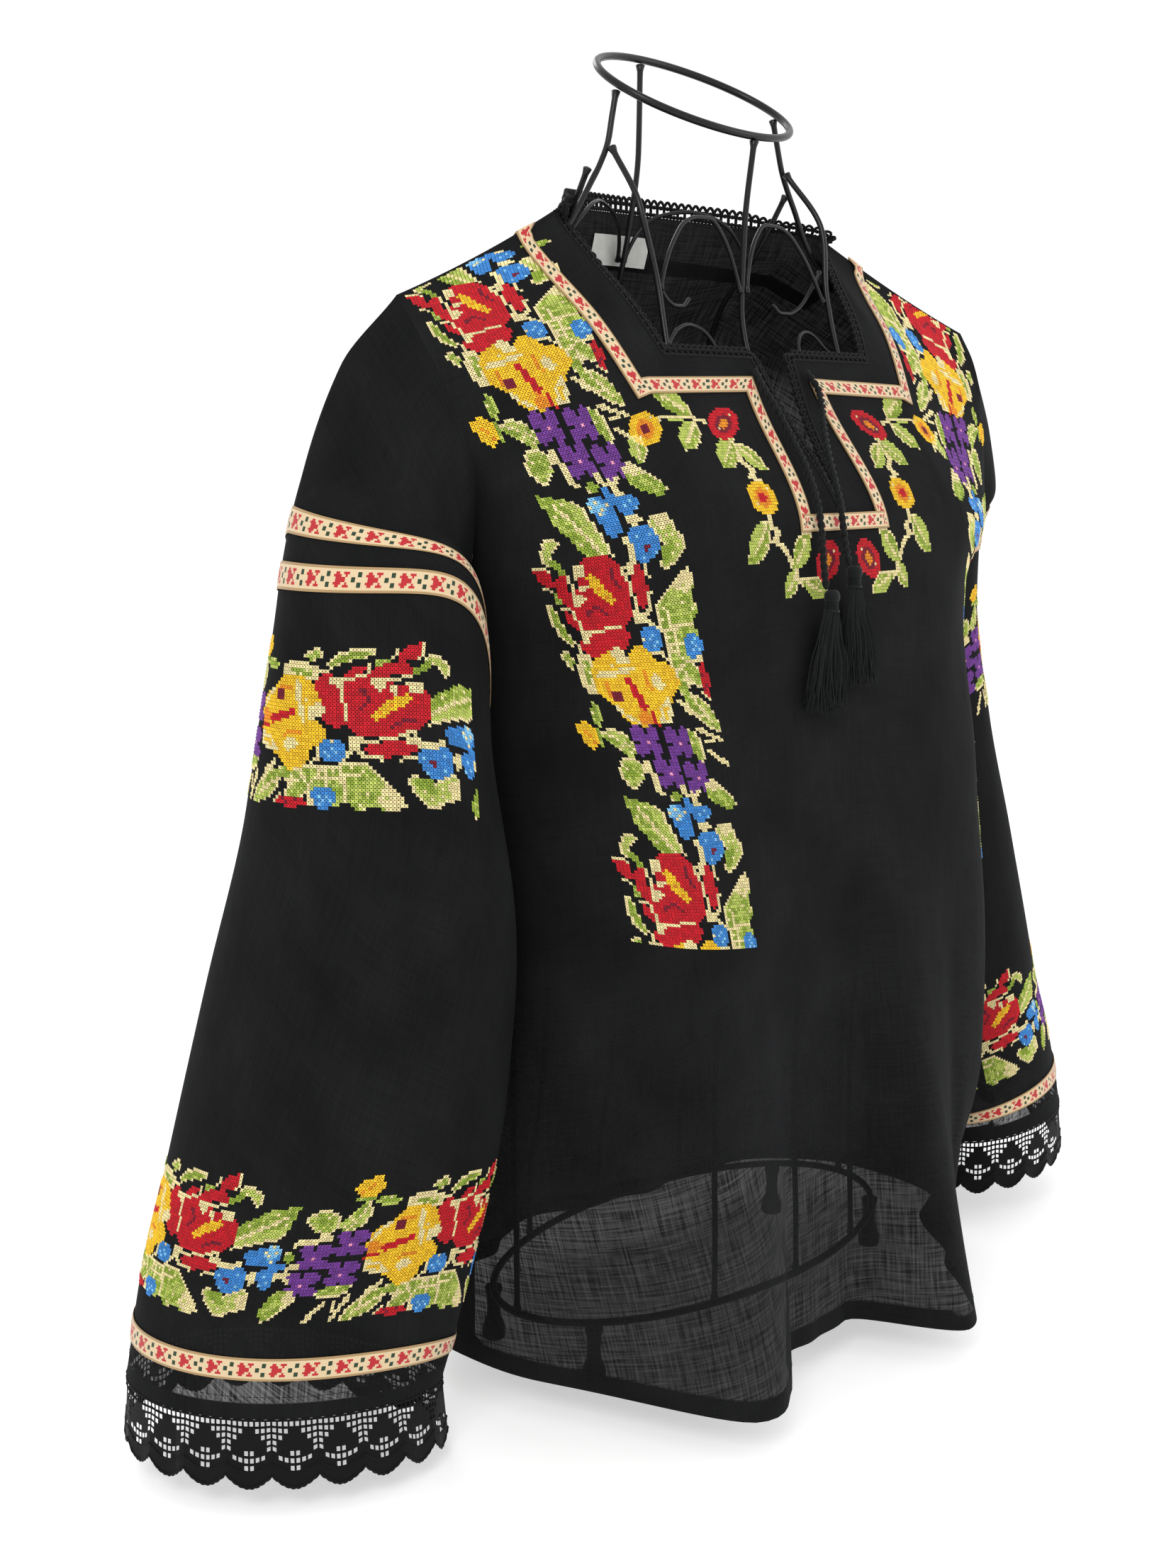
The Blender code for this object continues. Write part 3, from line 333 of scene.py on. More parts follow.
def net_uv(us, vs):
    return np.stack(np.meshgrid(us, vs), -1)


def grid_faces(rows, columns, closed=False, cells=None):
    """Quads of a grid of points; cells says which of them are cloth."""
    wide = columns if closed else columns - 1
    i, j = np.argwhere(np.ones((rows - 1, wide), bool) if cells is None else cells).T
    k = (j + 1) % columns
    return np.stack([i * columns + j, (i + 1) * columns + j, (i + 1) * columns + k,
                     i * columns + k], -1)


def grid_normals(grid, centre, closed=False):
    """Normal at every point of a grid, on the side that faces away from the centre."""
    ahead = np.roll(grid, -1, 1) - np.roll(grid, 1, 1)
    if not closed:
        ahead[:, 0] = grid[:, 1] - grid[:, 0]
        ahead[:, -1] = grid[:, -1] - grid[:, -2]
    n = unit(np.cross(np.gradient(grid, axis=0), ahead))
    return n * np.where(np.sum(n * (grid - centre)) > 0, 1, -1)


print("pieces so far:", len(pieces))

# %% [markdown]
# ## Writing finishes as sums
# A finish is a small circuit of nodes. Wiring it by hand is slow to read, so a socket is wrapped
# in a class that knows plus, minus and times. Then a weave can be written as one line of sums,
# and the nodes are added behind it.


# %% Sockets that add up
class Thread:
    """One output of a node. Arithmetic on it adds Math nodes."""

    def __init__(self, finish, socket):
        self.finish, self.socket = finish, socket

    def __add__(self, other):
        return self.finish.math("ADD", self, other)

    def __radd__(self, other):
        return self.finish.math("ADD", other, self)

    def __sub__(self, other):
        return self.finish.math("SUBTRACT", self, other)

    def __rsub__(self, other):
        return self.finish.math("SUBTRACT", other, self)

    def __mul__(self, other):
        return self.finish.math("MULTIPLY", self, other)

    def __rmul__(self, other):
        return self.finish.math("MULTIPLY", other, self)


class Finish:
    """A named material with one Principled shader, and a way to add any node to it."""

    def __init__(self, name, **fixed):
        self.material = bpy.data.materials.new(name)
        self.material.use_nodes = True
        self.tree = self.material.node_tree
        self.shader = self.tree.nodes["Principled BSDF"]
        self.show(**fixed)

    def show(self, **links):
        for name, value in links.items():
            self.put(self.shader.inputs[name.replace("_", " ")], value)

    def put(self, socket, value):
        if isinstance(value, Thread):
            self.tree.links.new(value.socket, socket)
        else:
            socket.default_value = value

    def node(self, kind, settings=None, out=0, **values):
        """settings are the node's own; values go to its sockets by name."""
        made = self.tree.nodes.new(kind)
        for key, value in (settings or {}).items():
            setattr(made, key, value)
        for key, value in values.items():
            self.put(made.inputs[key], value)
        return Thread(self, made.outputs[out])

    def math(self, operation, a, b):
        made = self.node("ShaderNodeMath", {"operation": operation})
        for socket, value in zip(made.socket.node.inputs, (a, b)):
            self.put(socket, value)
        return made

    def cloth_place(self, across=1.0, down=1.0):
        """Place along the cloth in millimetres, stretched for a texture that runs one way."""
        uv = self.node("ShaderNodeUVMap", {"uv_map": "along_cloth"})
        return self.node("ShaderNodeMapping", Vector=uv, Scale=(across, down, 1))

    def bands(self, pitch, direction="X"):
        """Soft stripes along the cloth, from 0 to 1, one for each thread of that pitch in mm."""
        return self.node("ShaderNodeTexWave", {"bands_direction": direction}, out=1,
                         Vector=self.cloth_place(), Scale=math.pi / 10 / pitch)

    def noise(self, across, down, detail=2.0, rough=0.5):
        return self.node("ShaderNodeTexNoise", Vector=self.cloth_place(across, down), Scale=1.0,
                         Detail=detail, Roughness=rough)

    def attribute(self, name, out="Fac"):
        return self.node("ShaderNodeAttribute", {"attribute_name": name}, out)

    def bump(self, height, strength, distance):
        return self.node("ShaderNodeBump", Height=height, Strength=strength, Distance=distance)

    def mix(self, factor, a, b):
        """Colours are mixed here and not with sums, which would turn them grey."""
        made = self.node("ShaderNodeMix", {"data_type": "RGBA"}, 2).socket
        for key, value in ((0, factor), (6, (*a, 1)), (7, (*b, 1))):
            self.put(made.node.inputs[key], value)
        return Thread(self, made)

    def shade(self, colour, amount):
        """A colour made darker or lighter by a number."""
        return self.node("ShaderNodeVectorMath", {"operation": "SCALE"}, Vector=colour,
                         Scale=amount)


print("finishes are ready")

# %% [markdown]
# ## The two ties
# Each tie is a twisted cord. It leaves the top corner of the slit and hangs over the placket to
# its tassel, with no coil and no knot in between. A cord like this is laid from two yarns, so it
# is built from two thin tubes that wind round one centreline. As the twist is modelled, the
# finish only needs fine fibres that run round the yarn, and a dull sheen.

# %% Cord and tassel cotton
cord_cotton = Finish("black_cord_cotton", Roughness=0.75, Sheen_Weight=0.08, Sheen_Roughness=0.5,
                     Specular_IOR_Level=0.12)
fibre = cord_cotton.noise(3.0, 0.5, 3.0)
cord_cotton.show(
    Base_Color=cord_cotton.mix(fibre, (0.0012, 0.0014, 0.0014), (0.0075, 0.009, 0.009)),
    Normal=cord_cotton.bump(fibre, 0.5, 0.3 * MM),
)
print(cord_cotton.material.name)


# %% Round tubes
def frames_along(line, start=(0, -1, 0)):
    """Two directions square to a line at each point, turning as little as they can."""
    ahead = unit(np.gradient(line, axis=0))
    side, sides = np.asarray(start, float), []
    for step in ahead:
        side = unit(side - step * (side @ step))
        sides.append(side)
    return np.array(sides), np.cross(ahead, np.array(sides))


def turns_of(count):
    return 2 * np.pi * np.arange(count) / count


def tube_points(line, radius, sides, start=(0, -1, 0)):
    a, b = frames_along(line, start)
    turn = turns_of(sides)[:, None]
    radius = np.broadcast_to(radius, len(line))[:, None, None]
    return line[:, None] + radius * (a[:, None] * np.cos(turn) + b[:, None] * np.sin(turn))


def tube_faces(rows, sides):
    """The quads of a tube, and the two faces that close its ends."""
    cap = np.arange(sides)[None]
    return [grid_faces(rows, sides, closed=True), cap, cap[:, ::-1] + (rows - 1) * sides]


def turned(outline, around, radius, high, at):
    """A lathe shape: shares of a radius and a height, turned round an upright axis."""
    turn = turns_of(around)
    return np.array([np.stack([r * radius * np.cos(turn), r * radius * np.sin(turn),
                               np.full(around, h * high)], -1) for r, h in outline]) + at


print("a tube of 3 rings has", sum(len(f) for f in tube_faces(3, 8)), "faces")

# %% The cords
CORD_RADIUS = 2.2 * MM
YARN_RADIUS, YARN_SIDES, TURNS_PER_MM, RINGS_PER_MM = CORD_RADIUS * 0.92, 8, 0.11, 1.6
CORD_ROUTES = {        # x, height and distance off the cloth, in mm
    "right": ((-24, 551, 0.6), (-25, 545, 1.4), (-23, 532, 3), (-21, 516, 2.2), (-22, 500, 2),
              (-25, 484, 2), (-28, 468, 2.6), (-30, 450, 3), (-31, 434, 4.5)),
    "left": ((24, 551, 0.6), (25, 544, 2.2), (20, 532, 4.5), (9, 517, 5), (0, 502, 4.5),
             (-6, 487, 4), (-9, 472, 3.6), (-10, 458, 3.6), (-10, 446, 5)),
}


def cord_route(side):
    x, z, out = np.array(CORD_ROUTES[side], float).T * MM
    down = level_of(x, z)
    off = surface_normal(x, down) * (CORD_RADIUS + out)[:, None]
    return curve_points(body_point(x, down) + off, 13)


def two_ply(route):
    """Two yarns wound round a route, each with its own faint unevenness."""
    length = run_of(route)[-1] / MM
    count = int(length * RINGS_PER_MM)
    fine = curve_points(route, count)
    a, b = frames_along(fine)
    yarns = []
    for ply in range(2):
        turn = 2 * np.pi * TURNS_PER_MM * np.linspace(0, length, count)[:, None] + np.pi * ply
        own = fine + YARN_RADIUS * 0.5 * (a * np.cos(turn) + b * np.sin(turn))
        thick = YARN_RADIUS * 0.56 * (1 + 0.05 * np.sin(turn[:, 0] * 3.1 + ply))
        uv = net_uv(np.arange(YARN_SIDES), np.arange(count))
        uv = (uv + uv[..., 1:] * (0.3, 0)) * 0.5
        yarns.append((tube_points(own, thick, YARN_SIDES), tube_faces(count, YARN_SIDES), uv))
    points, faces, uv = join(yarns)
    return points, sorted(faces, key=lambda f: f.shape[1]), uv


ties = {}
for side, _ in SIDES:
    route = cord_route(side)
    points, faces, uv = two_ply(route)
    ties[side] = route, make_piece("tie_" + side, points, faces, cord_cotton, uv,
                                   stands_for="tie_cord_" + side)

# %% [markdown]
# ## Tassels
# A tassel is a bundle of the same yarn, folded over the end of the cord and bound with a few
# turns of thread. Each strand is a thin round tube with its own slight bend, so the skirt looks
# like separate yarns that end at different lengths.

# %% Tassels, and the length of each tie
TASSEL_LONG, TASSEL_HEAD_RADIUS, TASSEL_HEAD_HIGH = 67 * MM, 4.5 * MM, 12 * MM
TASSEL_SPREAD, TASSEL_LEAN, TASSEL_FORWARD = np.array([15 * MM, 8.5 * MM, 1]), 4 * MM, 4 * MM
JOINT_GAP, STRANDS, STRAND_RINGS, STRAND_SIDES, GOLDEN_TURN = 0.3 * MM, 260, 9, 4, 2.399963
HEAD = [(0.30, 0.00), (0.72, 0.05), (0.95, 0.2), (1.0, 0.38), (0.9, 0.5), (0.78, 0.55)]
for turn_down in np.linspace(0.56, 0.86, 7):      # the binding thread, turn by turn
    HEAD += [(0.86, turn_down), (0.78, turn_down + 0.022)]
HEAD += [(0.92, 0.92), (1.0, 1.02)]
rng = np.random.default_rng(7)


def tassel(side, top):
    lean = TASSEL_LEAN if side == "left" else -TASSEL_LEAN
    base = top - UP * TASSEL_HEAD_HIGH
    parts = []
    for k in range(STRANDS):
        spread = math.sqrt((k + 0.5) / STRANDS)
        turn = k * GOLDEN_TURN + rng.normal(0, 0.1)
        here = np.array([math.cos(turn), math.sin(turn), 0])
        wave = rng.normal(0, 1.2 * MM, (2, 3)) * (1, 1, 0.2)
        long = (TASSEL_LONG - TASSEL_HEAD_HIGH) * rng.uniform(0.88, 1.0)
        path = [base + here * TASSEL_HEAD_RADIUS * 0.8 * spread + UP * 1.5 * MM]
        for bend, fall, wide in ((0, 0.25, 0.55), (wave[0], 0.6, 0.82), (wave[1], 1.0, 1.0)):
            path.append(base + here * TASSEL_SPREAD * wide * spread
                        + (lean * fall, 0, -long * fall) + bend)
        rings = tube_points(curve_points(path, STRAND_RINGS),
                            np.linspace(0.55, 0.38, STRAND_RINGS) * MM, STRAND_SIDES, (1, 0, 0))
        parts.append((rings, tube_faces(STRAND_RINGS, STRAND_SIDES),
                      net_uv(np.arange(STRAND_SIDES) + k, np.arange(STRAND_RINGS) * 4)))
    around = 20
    parts.append((turned(HEAD, around, TASSEL_HEAD_RADIUS, -TASSEL_HEAD_HIGH, top),
                  [grid_faces(len(HEAD), around, closed=True)],
                  net_uv(np.arange(around), np.arange(len(HEAD)) * 2.0)))
    points, faces, uv = join(parts)
    return make_piece("tassel_of_yarn_" + side, points, faces, cord_cotton, uv,
                      stands_for="tassel_" + side)


for side, (route, tie) in ties.items():
    skirt = tassel(side, route[-1] - (0, TASSEL_FORWARD, JOINT_GAP))
    placed = route + PLACE
    print("tie %s is %.0f mm long" % (side, run_of(placed)[-1] / MM))

# %% [markdown]
# ## The cotton
# The cloth is thin, loosely woven and dyed black. Seen against white, light comes through
# between the threads, uneven where a thread is thick or thin. Two stretched noises, one for each
# direction, give these slubs, and a fine crossed weave gives the surface. Where the cloth is
# turned in and doubled it lets nothing through, which the pattern's own number says.

# %% Black cotton
WEAVE_PITCH = 0.62                        # mm from thread to thread
black = Finish("black_cotton", Sheen_Weight=0.012, Sheen_Roughness=0.5, Specular_IOR_Level=0.05,
               Sheen_Tint=(0.75, 0.8, 0.9, 1))
warp, weft = black.bands(WEAVE_PITCH, "X"), black.bands(WEAVE_PITCH, "Y")
threads = black.noise(0.8, 0.035, 3.0, 0.6) * 0.5 + black.noise(0.035, 0.8, 3.0, 0.6) * 0.5
# A broad noise, about 50 mm across, makes the black lighter and darker in patches: painted light
# and shade. It also varies the roughness.
patchy_tone_and_painted_shade, crumple = black.noise(0.02, 0.02), black.noise(0.035, 0.014, 3.0)
dark = black.mix(1.6 * threads - 0.3, (0.0042, 0.0043, 0.0045), (0.0105, 0.0107, 0.011))
gaps = black.math("MAXIMUM", black.attribute("sheer") * (6.0 - 10.0 * threads), 0)
height = warp * 0.35 + weft * 0.35 + threads * 0.9 + crumple * 30
# The base colour carries the painted light and shade of the broad noise.
black.show(
    Base_Color=black.shade(dark, 0.3 + 1.4 * patchy_tone_and_painted_shade), Roughness=0.8 + 0.15 * patchy_tone_and_painted_shade,
    Alpha=black.math("MAXIMUM", 1 - gaps, black.attribute("doubled")),
    Normal=black.bump(height, 0.35, 0.12 * MM),
)
print("cotton:", black.material.name)

# %% [markdown]
# ## The front panel
# The front is one piece of cloth with a square neck and a slit. It is drawn as a grid: each row
# is one level, and its points are spaced by their distance along the cloth, so that columns run
# down the grain. The cells of the neck and the slit are simply left out.

# %% The front's grid
NECK_TOP_HALF, NECK_LOW_HALF, NECK_LOW = 123 * MM, 94 * MM, 0.3137
SLIT_TOP_HALF, SLIT_LOW_HALF, SLIT_LOW = 20 * MM, 3 * MM, 0.644
SLIT_COLUMNS_END, ARMHOLE_LOW = 38 * MM, 0.82
SOLID_LEVELS = (0, 0.055, 0.115, 0.18, 0.245, NECK_LOW, 0.38, 0.445, 0.51, 0.575, SLIT_LOW, 0.73,
                ARMHOLE_LOW, 0.91, 1, 1.1, 1.22, 1.34, 1.46, 1.58, 1.7, 1.8, 1.9, 2)
CELL = 3.9 * MM                           # size of one cell of the cloth's grid
SLIT_COLUMNS, INNER_COLUMNS, OUTER_COLUMNS = 9, 16, 38
HALF = SLIT_COLUMNS + INNER_COLUMNS + OUTER_COLUMNS - 2
NECK_RIGHT, NECK_LEFT = OUTER_COLUMNS - 1, 2 * HALF - OUTER_COLUMNS


def split(stops, long_of):
    """The stops again, with steps of about one cell between them."""
    out = [stops[0]]
    for low, high in zip(stops[:-1], stops[1:]):
        steps = max(1, int(round((high - low) * long_of(high) / CELL)))
        out += list(np.linspace(low, high, steps + 1)[1:])
    return np.array(out)


LEVELS = split(SOLID_LEVELS, lambda high: (260 if high <= 1 else 377) * MM)


def half_row(down, sign):
    """x of one half's points at one level, from the slit out to the side seam."""
    in_slit = np.clip((down - NECK_LOW) / (SLIT_LOW - NECK_LOW), 0, 1)
    slit = SLIT_TOP_HALF + (SLIT_LOW_HALF - SLIT_TOP_HALF) * in_slit
    neck = NECK_TOP_HALF + (NECK_LOW_HALF - NECK_TOP_HALF) * np.clip(down / NECK_LOW, 0, 1)
    total = x_at_arc(0, down, sign)[1]
    arcs = np.concatenate([np.linspace(slit, SLIT_COLUMNS_END, SLIT_COLUMNS),
                           np.linspace(SLIT_COLUMNS_END, neck, INNER_COLUMNS)[1:],
                           np.linspace(neck, total, OUTER_COLUMNS)[1:]])
    x = x_at_arc(arcs, down, sign)[0]
    x[-1] = sign * float(BODY("side_x", down))
    return x, arcs


def front_cloth():
    rows, across = [], []
    for down in LEVELS:
        (right, right_arcs), (left, left_arcs) = half_row(down, -1), half_row(down, 1)
        rows.append(body_point(np.concatenate([right[::-1], left]), down))
        across.append(np.concatenate([-right_arcs[::-1], left_arcs]))
    return np.array(rows), np.array(across)


front_grid, front_across = front_cloth()
print("front grid:", front_grid.shape)

# %% The front as cloth
HEM_DEEP, SEAM_WIDE = 12 * MM, 9 * MM
# level by level, how much light the cloth lets through
FRONT_SHEER = ((0, 1.05, 1.35, 1.6, 2), (0.004, 0.004, 0.01, 0.034, 0.04))
BACK_SHEER = ((0, 0.22, 0.34, 1.2, 1.6, 2), (0.006, 0.006, 0.024, 0.014, 0.03, 0.04))


def down_run(grid):
    """Distance down each column of a grid, in metres."""
    step = np.linalg.norm(np.diff(grid, axis=0), axis=2)
    return np.concatenate([np.zeros((1, grid.shape[1])), np.cumsum(step, axis=0)])


def doubled_within(wide, from_edge):
    """1 where cloth is turned in, up to that distance from an edge, and 0 elsewhere."""
    return np.clip((wide - from_edge) / (1 * MM) + 0.5, 0, 1)


def put_cloth(name, grid, across, faces, doubled, sheer, stands_for):
    """One panel as cloth: its hem is doubled too, and sheer goes row by row."""
    run = down_run(grid)
    doubled = np.maximum(doubled, doubled_within(HEM_DEEP, run[-1] - run))
    sheer = np.repeat(sheer[:, None], grid.shape[1], 1)
    return make_piece(name, grid, [faces], black, np.stack([across, run], -1) / MM,
                      numbers={"doubled": doubled, "sheer": sheer}, stands_for=stands_for)


def seams(across):
    from_edge = np.minimum(across - across[:, :1], across[:, -1:] - across)
    return doubled_within(SEAM_WIDE, from_edge)


def gathered(grid):
    """Cloth that is gathered into a deep fold hides more."""
    late = np.clip((LEVELS[:, None] - 1.4) / 0.3, 0, 1)
    return np.max([(depth > 40) * crest(grid[:, :, 0], at, minus / 2, plus / 2) * late
                   for at, depth, minus, plus, _ in FRONT_FOLDS], 0)


front_cells = np.ones((len(LEVELS) - 1, 2 * HALF - 1), bool)
front_cells[LEVELS[:-1] < SLIT_LOW - 1e-6, HALF - 1] = False
front_cells[LEVELS[:-1] < NECK_LOW - 1e-6, NECK_RIGHT:NECK_LEFT] = False
front = put_cloth("front_panel", front_grid, front_across,
                  grid_faces(*front_grid.shape[:2], cells=front_cells),
                  np.maximum(seams(front_across), 0.9 * gathered(front_grid)),
                  through(*FRONT_SHEER, LEVELS), "front")

# %% [markdown]
# ## The back panel
# The photo never shows the outside of the back. It is cut like the front but has no slit, and it
# is left plain. It starts from the same shoulder points as the front, so the ridge seam closes.

# %% The back as cloth
BACK_NECK_COLUMNS = 2 * (SLIT_COLUMNS + INNER_COLUMNS) - 1


def back_cloth():
    rows, across = [], []
    for line, down in zip(front_grid[:, :, 0], LEVELS):
        right, left = line[: NECK_RIGHT + 1], line[NECK_LEFT:]
        inside = np.linspace(left[0], right[-1], BACK_NECK_COLUMNS + 1)[1:-1]
        points = body_point(np.concatenate([left[::-1], inside, right[::-1]]), down, True)
        rows.append(points)
        across.append(run_of(points) - run_of(points)[-1] / 2)
    return np.array(rows), np.array(across)


back_grid, back_across = back_cloth()
back = put_cloth("back_panel", back_grid, back_across, grid_faces(*back_grid.shape[:2]),
                 seams(back_across), through(*BACK_SHEER, LEVELS), "back")

# %% [markdown]
# ## The sleeves
# A sleeve is a wide tube set into the armhole. Near the seam it keeps the armhole's shape. Lower
# down it is a broad oval that opens to the cuff, turned so that its flat side faces outward. The
# two sleeves come from one table, and a second table of sways tells them apart.

# %% The sleeves' tables
SLEEVE = Table(
    "along x y broad deep turn outer_z inner_z",
    (0.00, 220, 30, 29, 46, 0, 584, 424),
    (0.08, 231, 36, 43, 49, 8, 550, 404),
    (0.20, 238, 39, 49, 50, 20, 494, 358),
    (0.35, 245, 39, 56, 50, 30, 412, 296),
    (0.50, 252, 33, 68, 53, 38, 330, 248),
    (0.65, 268, 27, 78, 57, 43, 244, 196),
    (0.80, 287, 22, 84, 60, 45, 150, 130),
    (0.92, 306, 21, 83, 60, 45, 90, 60),
    (1.00, 315, 22, 82, 61, 45, 45, 31),
)
SWAY = Table(
    "along right_x right_y right_z left_x left_y left_z",
    (0.0, 0, 0, 0, 0, 0, 0),
    (0.15, 0, 0, 0, 6, 2, 0),
    (0.3, 0, 0, 0, -1, 14, 0),
    (0.5, 0, 0, 0, -2, 18, 0),
    (0.8, 0, 16, -3, -22, 4, 4),
    (1.0, -8, 32, -8, -38, -13, 10),
)
DROP_POWER, UNDERARM_TURN, SLEEVE_BLEND = 3, math.radians(45), 0.3
BODY_CLEARANCE, UNDERARM_GAP = 5 * MM, 1.5 * MM
CLEARANCE_FROM, CLEARANCE_BELOW = 0.045, 0.66
ARM_RIBBONS, CUFF_RIBBON = ((0.222, 0.247), (0.272, 0.297)), (0.945, 0.965)


def sleeve_ring(along, angles):
    turn = np.radians(SLEEVE("turn", along))
    a, b = SLEEVE("broad", along) * np.cos(angles), SLEEVE("deep", along) * np.sin(angles)
    x = SLEEVE("x", along) + a * np.cos(turn) - b * np.sin(turn)
    y = SLEEVE("y", along) + a * np.sin(turn) + b * np.cos(turn)
    fall = SLEEVE("outer_z", along) - SLEEVE("inner_z", along)
    away = np.cos(angles + UNDERARM_TURN)
    return np.stack([x, y, SLEEVE("outer_z", along) - fall * (0.5 - 0.5 * away) ** DROP_POWER], -1)


def clear_of_body(points, along):
    """Moves sleeve points, right side out at +x, off the body that they would lie inside."""
    x, y, z = points[..., 0], points[..., 1], points[..., 2]
    below = 1 + (UNDERARM_Z - z) / (UNDERARM_Z - HEM_Z)
    down = np.clip(np.where(z < UNDERARM_Z, below, level_of(x, z)), 0, 2)
    reach = np.zeros(x.shape)
    for side in ("front", "back"):
        edge, square = BODY(side + "_side_y", down), BODY(side + "_square", down)
        t = np.clip((y - edge) / (BODY(side + "_y", down) - edge), 0, 1)
        inside = (y <= edge) if side == "front" else (y > edge)
        reach = np.where(inside, BODY("side_x", down) * (1 - t**square) ** (1 / square), reach)
    reach += UNDERARM_GAP + (BODY_CLEARANCE - UNDERARM_GAP) * smooth_step(along / CLEARANCE_FROM)
    return np.stack([np.where((down > CLEARANCE_BELOW) & (x < reach), reach, x), y, z], -1)


print("cuff is about %.0f mm across" % (2 * SLEEVE("broad", 1.0) / MM))

# %% [markdown]
# Round a sleeve, a fraction says where a point is: 0 at the shoulder, 0.25 in front, 0.5 at the
# underarm seam. Negative fractions go round the back. The armhole seam is read from the front's
# and the back's own side edges, so sleeve and body meet point for point.

# %% Points round a sleeve
ARM_ROWS = int(np.argmin(np.abs(LEVELS - ARMHOLE_LOW))) + 1


def armhole_loop(sign):
    front_edge = front_grid[:ARM_ROWS, -1 if sign > 0 else 0]
    back_edge = back_grid[:ARM_ROWS, 0 if sign > 0 else -1]
    front_run, back_run = run_of(front_edge), run_of(back_edge)
    fractions = np.concatenate([-0.5 * back_run[::-1] / back_run[-1],
                                0.5 * front_run[1:] / front_run[-1]])
    return fractions, np.concatenate([back_edge[::-1], front_edge[1:]]) * (sign, 1, 1)


LOOPS = {sign: armhole_loop(sign) for sign in (1, -1)}


def creases(angle, along):
    """Soft hollows that run down the sleeve, deepest halfway between armhole and cuff."""
    wave = np.sin(3 * angle + 4.2 * along) + 0.6 * np.sin(5 * angle - 7 * along + 1.3)
    held = smooth_step((along - 0.3) / 0.2) * smooth_step((1.02 - along) / 0.25)
    return 1.3 * MM * wave * held


def sleeve_point(sign, fraction, along):
    """fraction from -0.5 to 0.5 round the sleeve, along from 0 at the armhole to 1 at the cuff."""
    fraction, along = np.broadcast_arrays(np.asarray(fraction, float), np.asarray(along, float))
    angles = -2 * np.pi * fraction
    side = "left" if sign > 0 else "right"
    sway = np.stack([SWAY(side + axis, along) for axis in ("_x", "_y", "_z")], -1)
    shift = read_line(fraction, *LOOPS[sign]) - sleeve_ring(np.zeros_like(along), angles)
    ring = sleeve_ring(along, angles) + sway
    ring = ring + shift * (1 - smooth_step(along / SLEEVE_BLEND))[..., None]
    turn = np.radians(SLEEVE("turn", along)) + angles
    out = np.stack([np.cos(turn), np.sin(turn), 0 * turn], -1)
    ring = ring + out * creases(-angles, along)[..., None]
    return clear_of_body(ring, along) * (sign, 1, 1)


ALONG = split((0, 0.09, *ARM_RIBBONS[0], *ARM_RIBBONS[1], 0.5, 0.75, *CUFF_RIBBON, 1),
              lambda high: 560 * MM)
print("rings of a sleeve:", len(ALONG))

# %% The sleeves as cloth
SLEEVE_SHEER = ((0, 0.958, 0.966, 1), (0.003, 0.003, 0.1, 0.1))
sleeves = {}
for side, sign in SIDES:
    grid = sleeve_point(sign, LOOPS[sign][0][None, :-1], ALONG[:, None])
    closed = np.concatenate([grid, grid[:, :1]], 1)
    run = np.cumsum(np.linalg.norm(np.diff(closed, axis=1, prepend=grid[:, :1]), axis=2), 1)
    seam = np.exp(-(np.arange(grid.shape[1]) / 1.2) ** 2)[None]
    quads = grid_faces(*grid.shape[:2], closed=True)
    made = put_cloth("sleeve_cloth_" + side, grid, run[:, :-1], quads[:, ::sign], seam,
                     np.interp(ALONG, *SLEEVE_SHEER), "sleeve_" + side)
    sleeves[side] = made, grid, float(run[:, -1].max())

# %% [markdown]
# ## The wire form
# The form is steel rod, bent cold over a jig and welded where rods meet, then dipped in black
# enamel. Its shine is what shows it, so each rod is a smooth round tube with many sides, with a
# small swollen bead of weld at each joint. The routes repeat the solid's, so every rod lies
# exactly where its solid does.

# %% Black enamel
enamel = Finish("black_enamel", Roughness=0.3, Specular_IOR_Level=0.2, Coat_Weight=0.12,
                Coat_Roughness=0.15)
pits = enamel.noise(0.8, 0.8, 3.0)
enamel.show(
    Base_Color=enamel.mix(pits, (0.003, 0.003, 0.0035), (0.008, 0.008, 0.009)),
    Roughness=0.24 + 0.2 * pits,
    Normal=enamel.bump(pits, 0.25, 0.2 * MM),
)

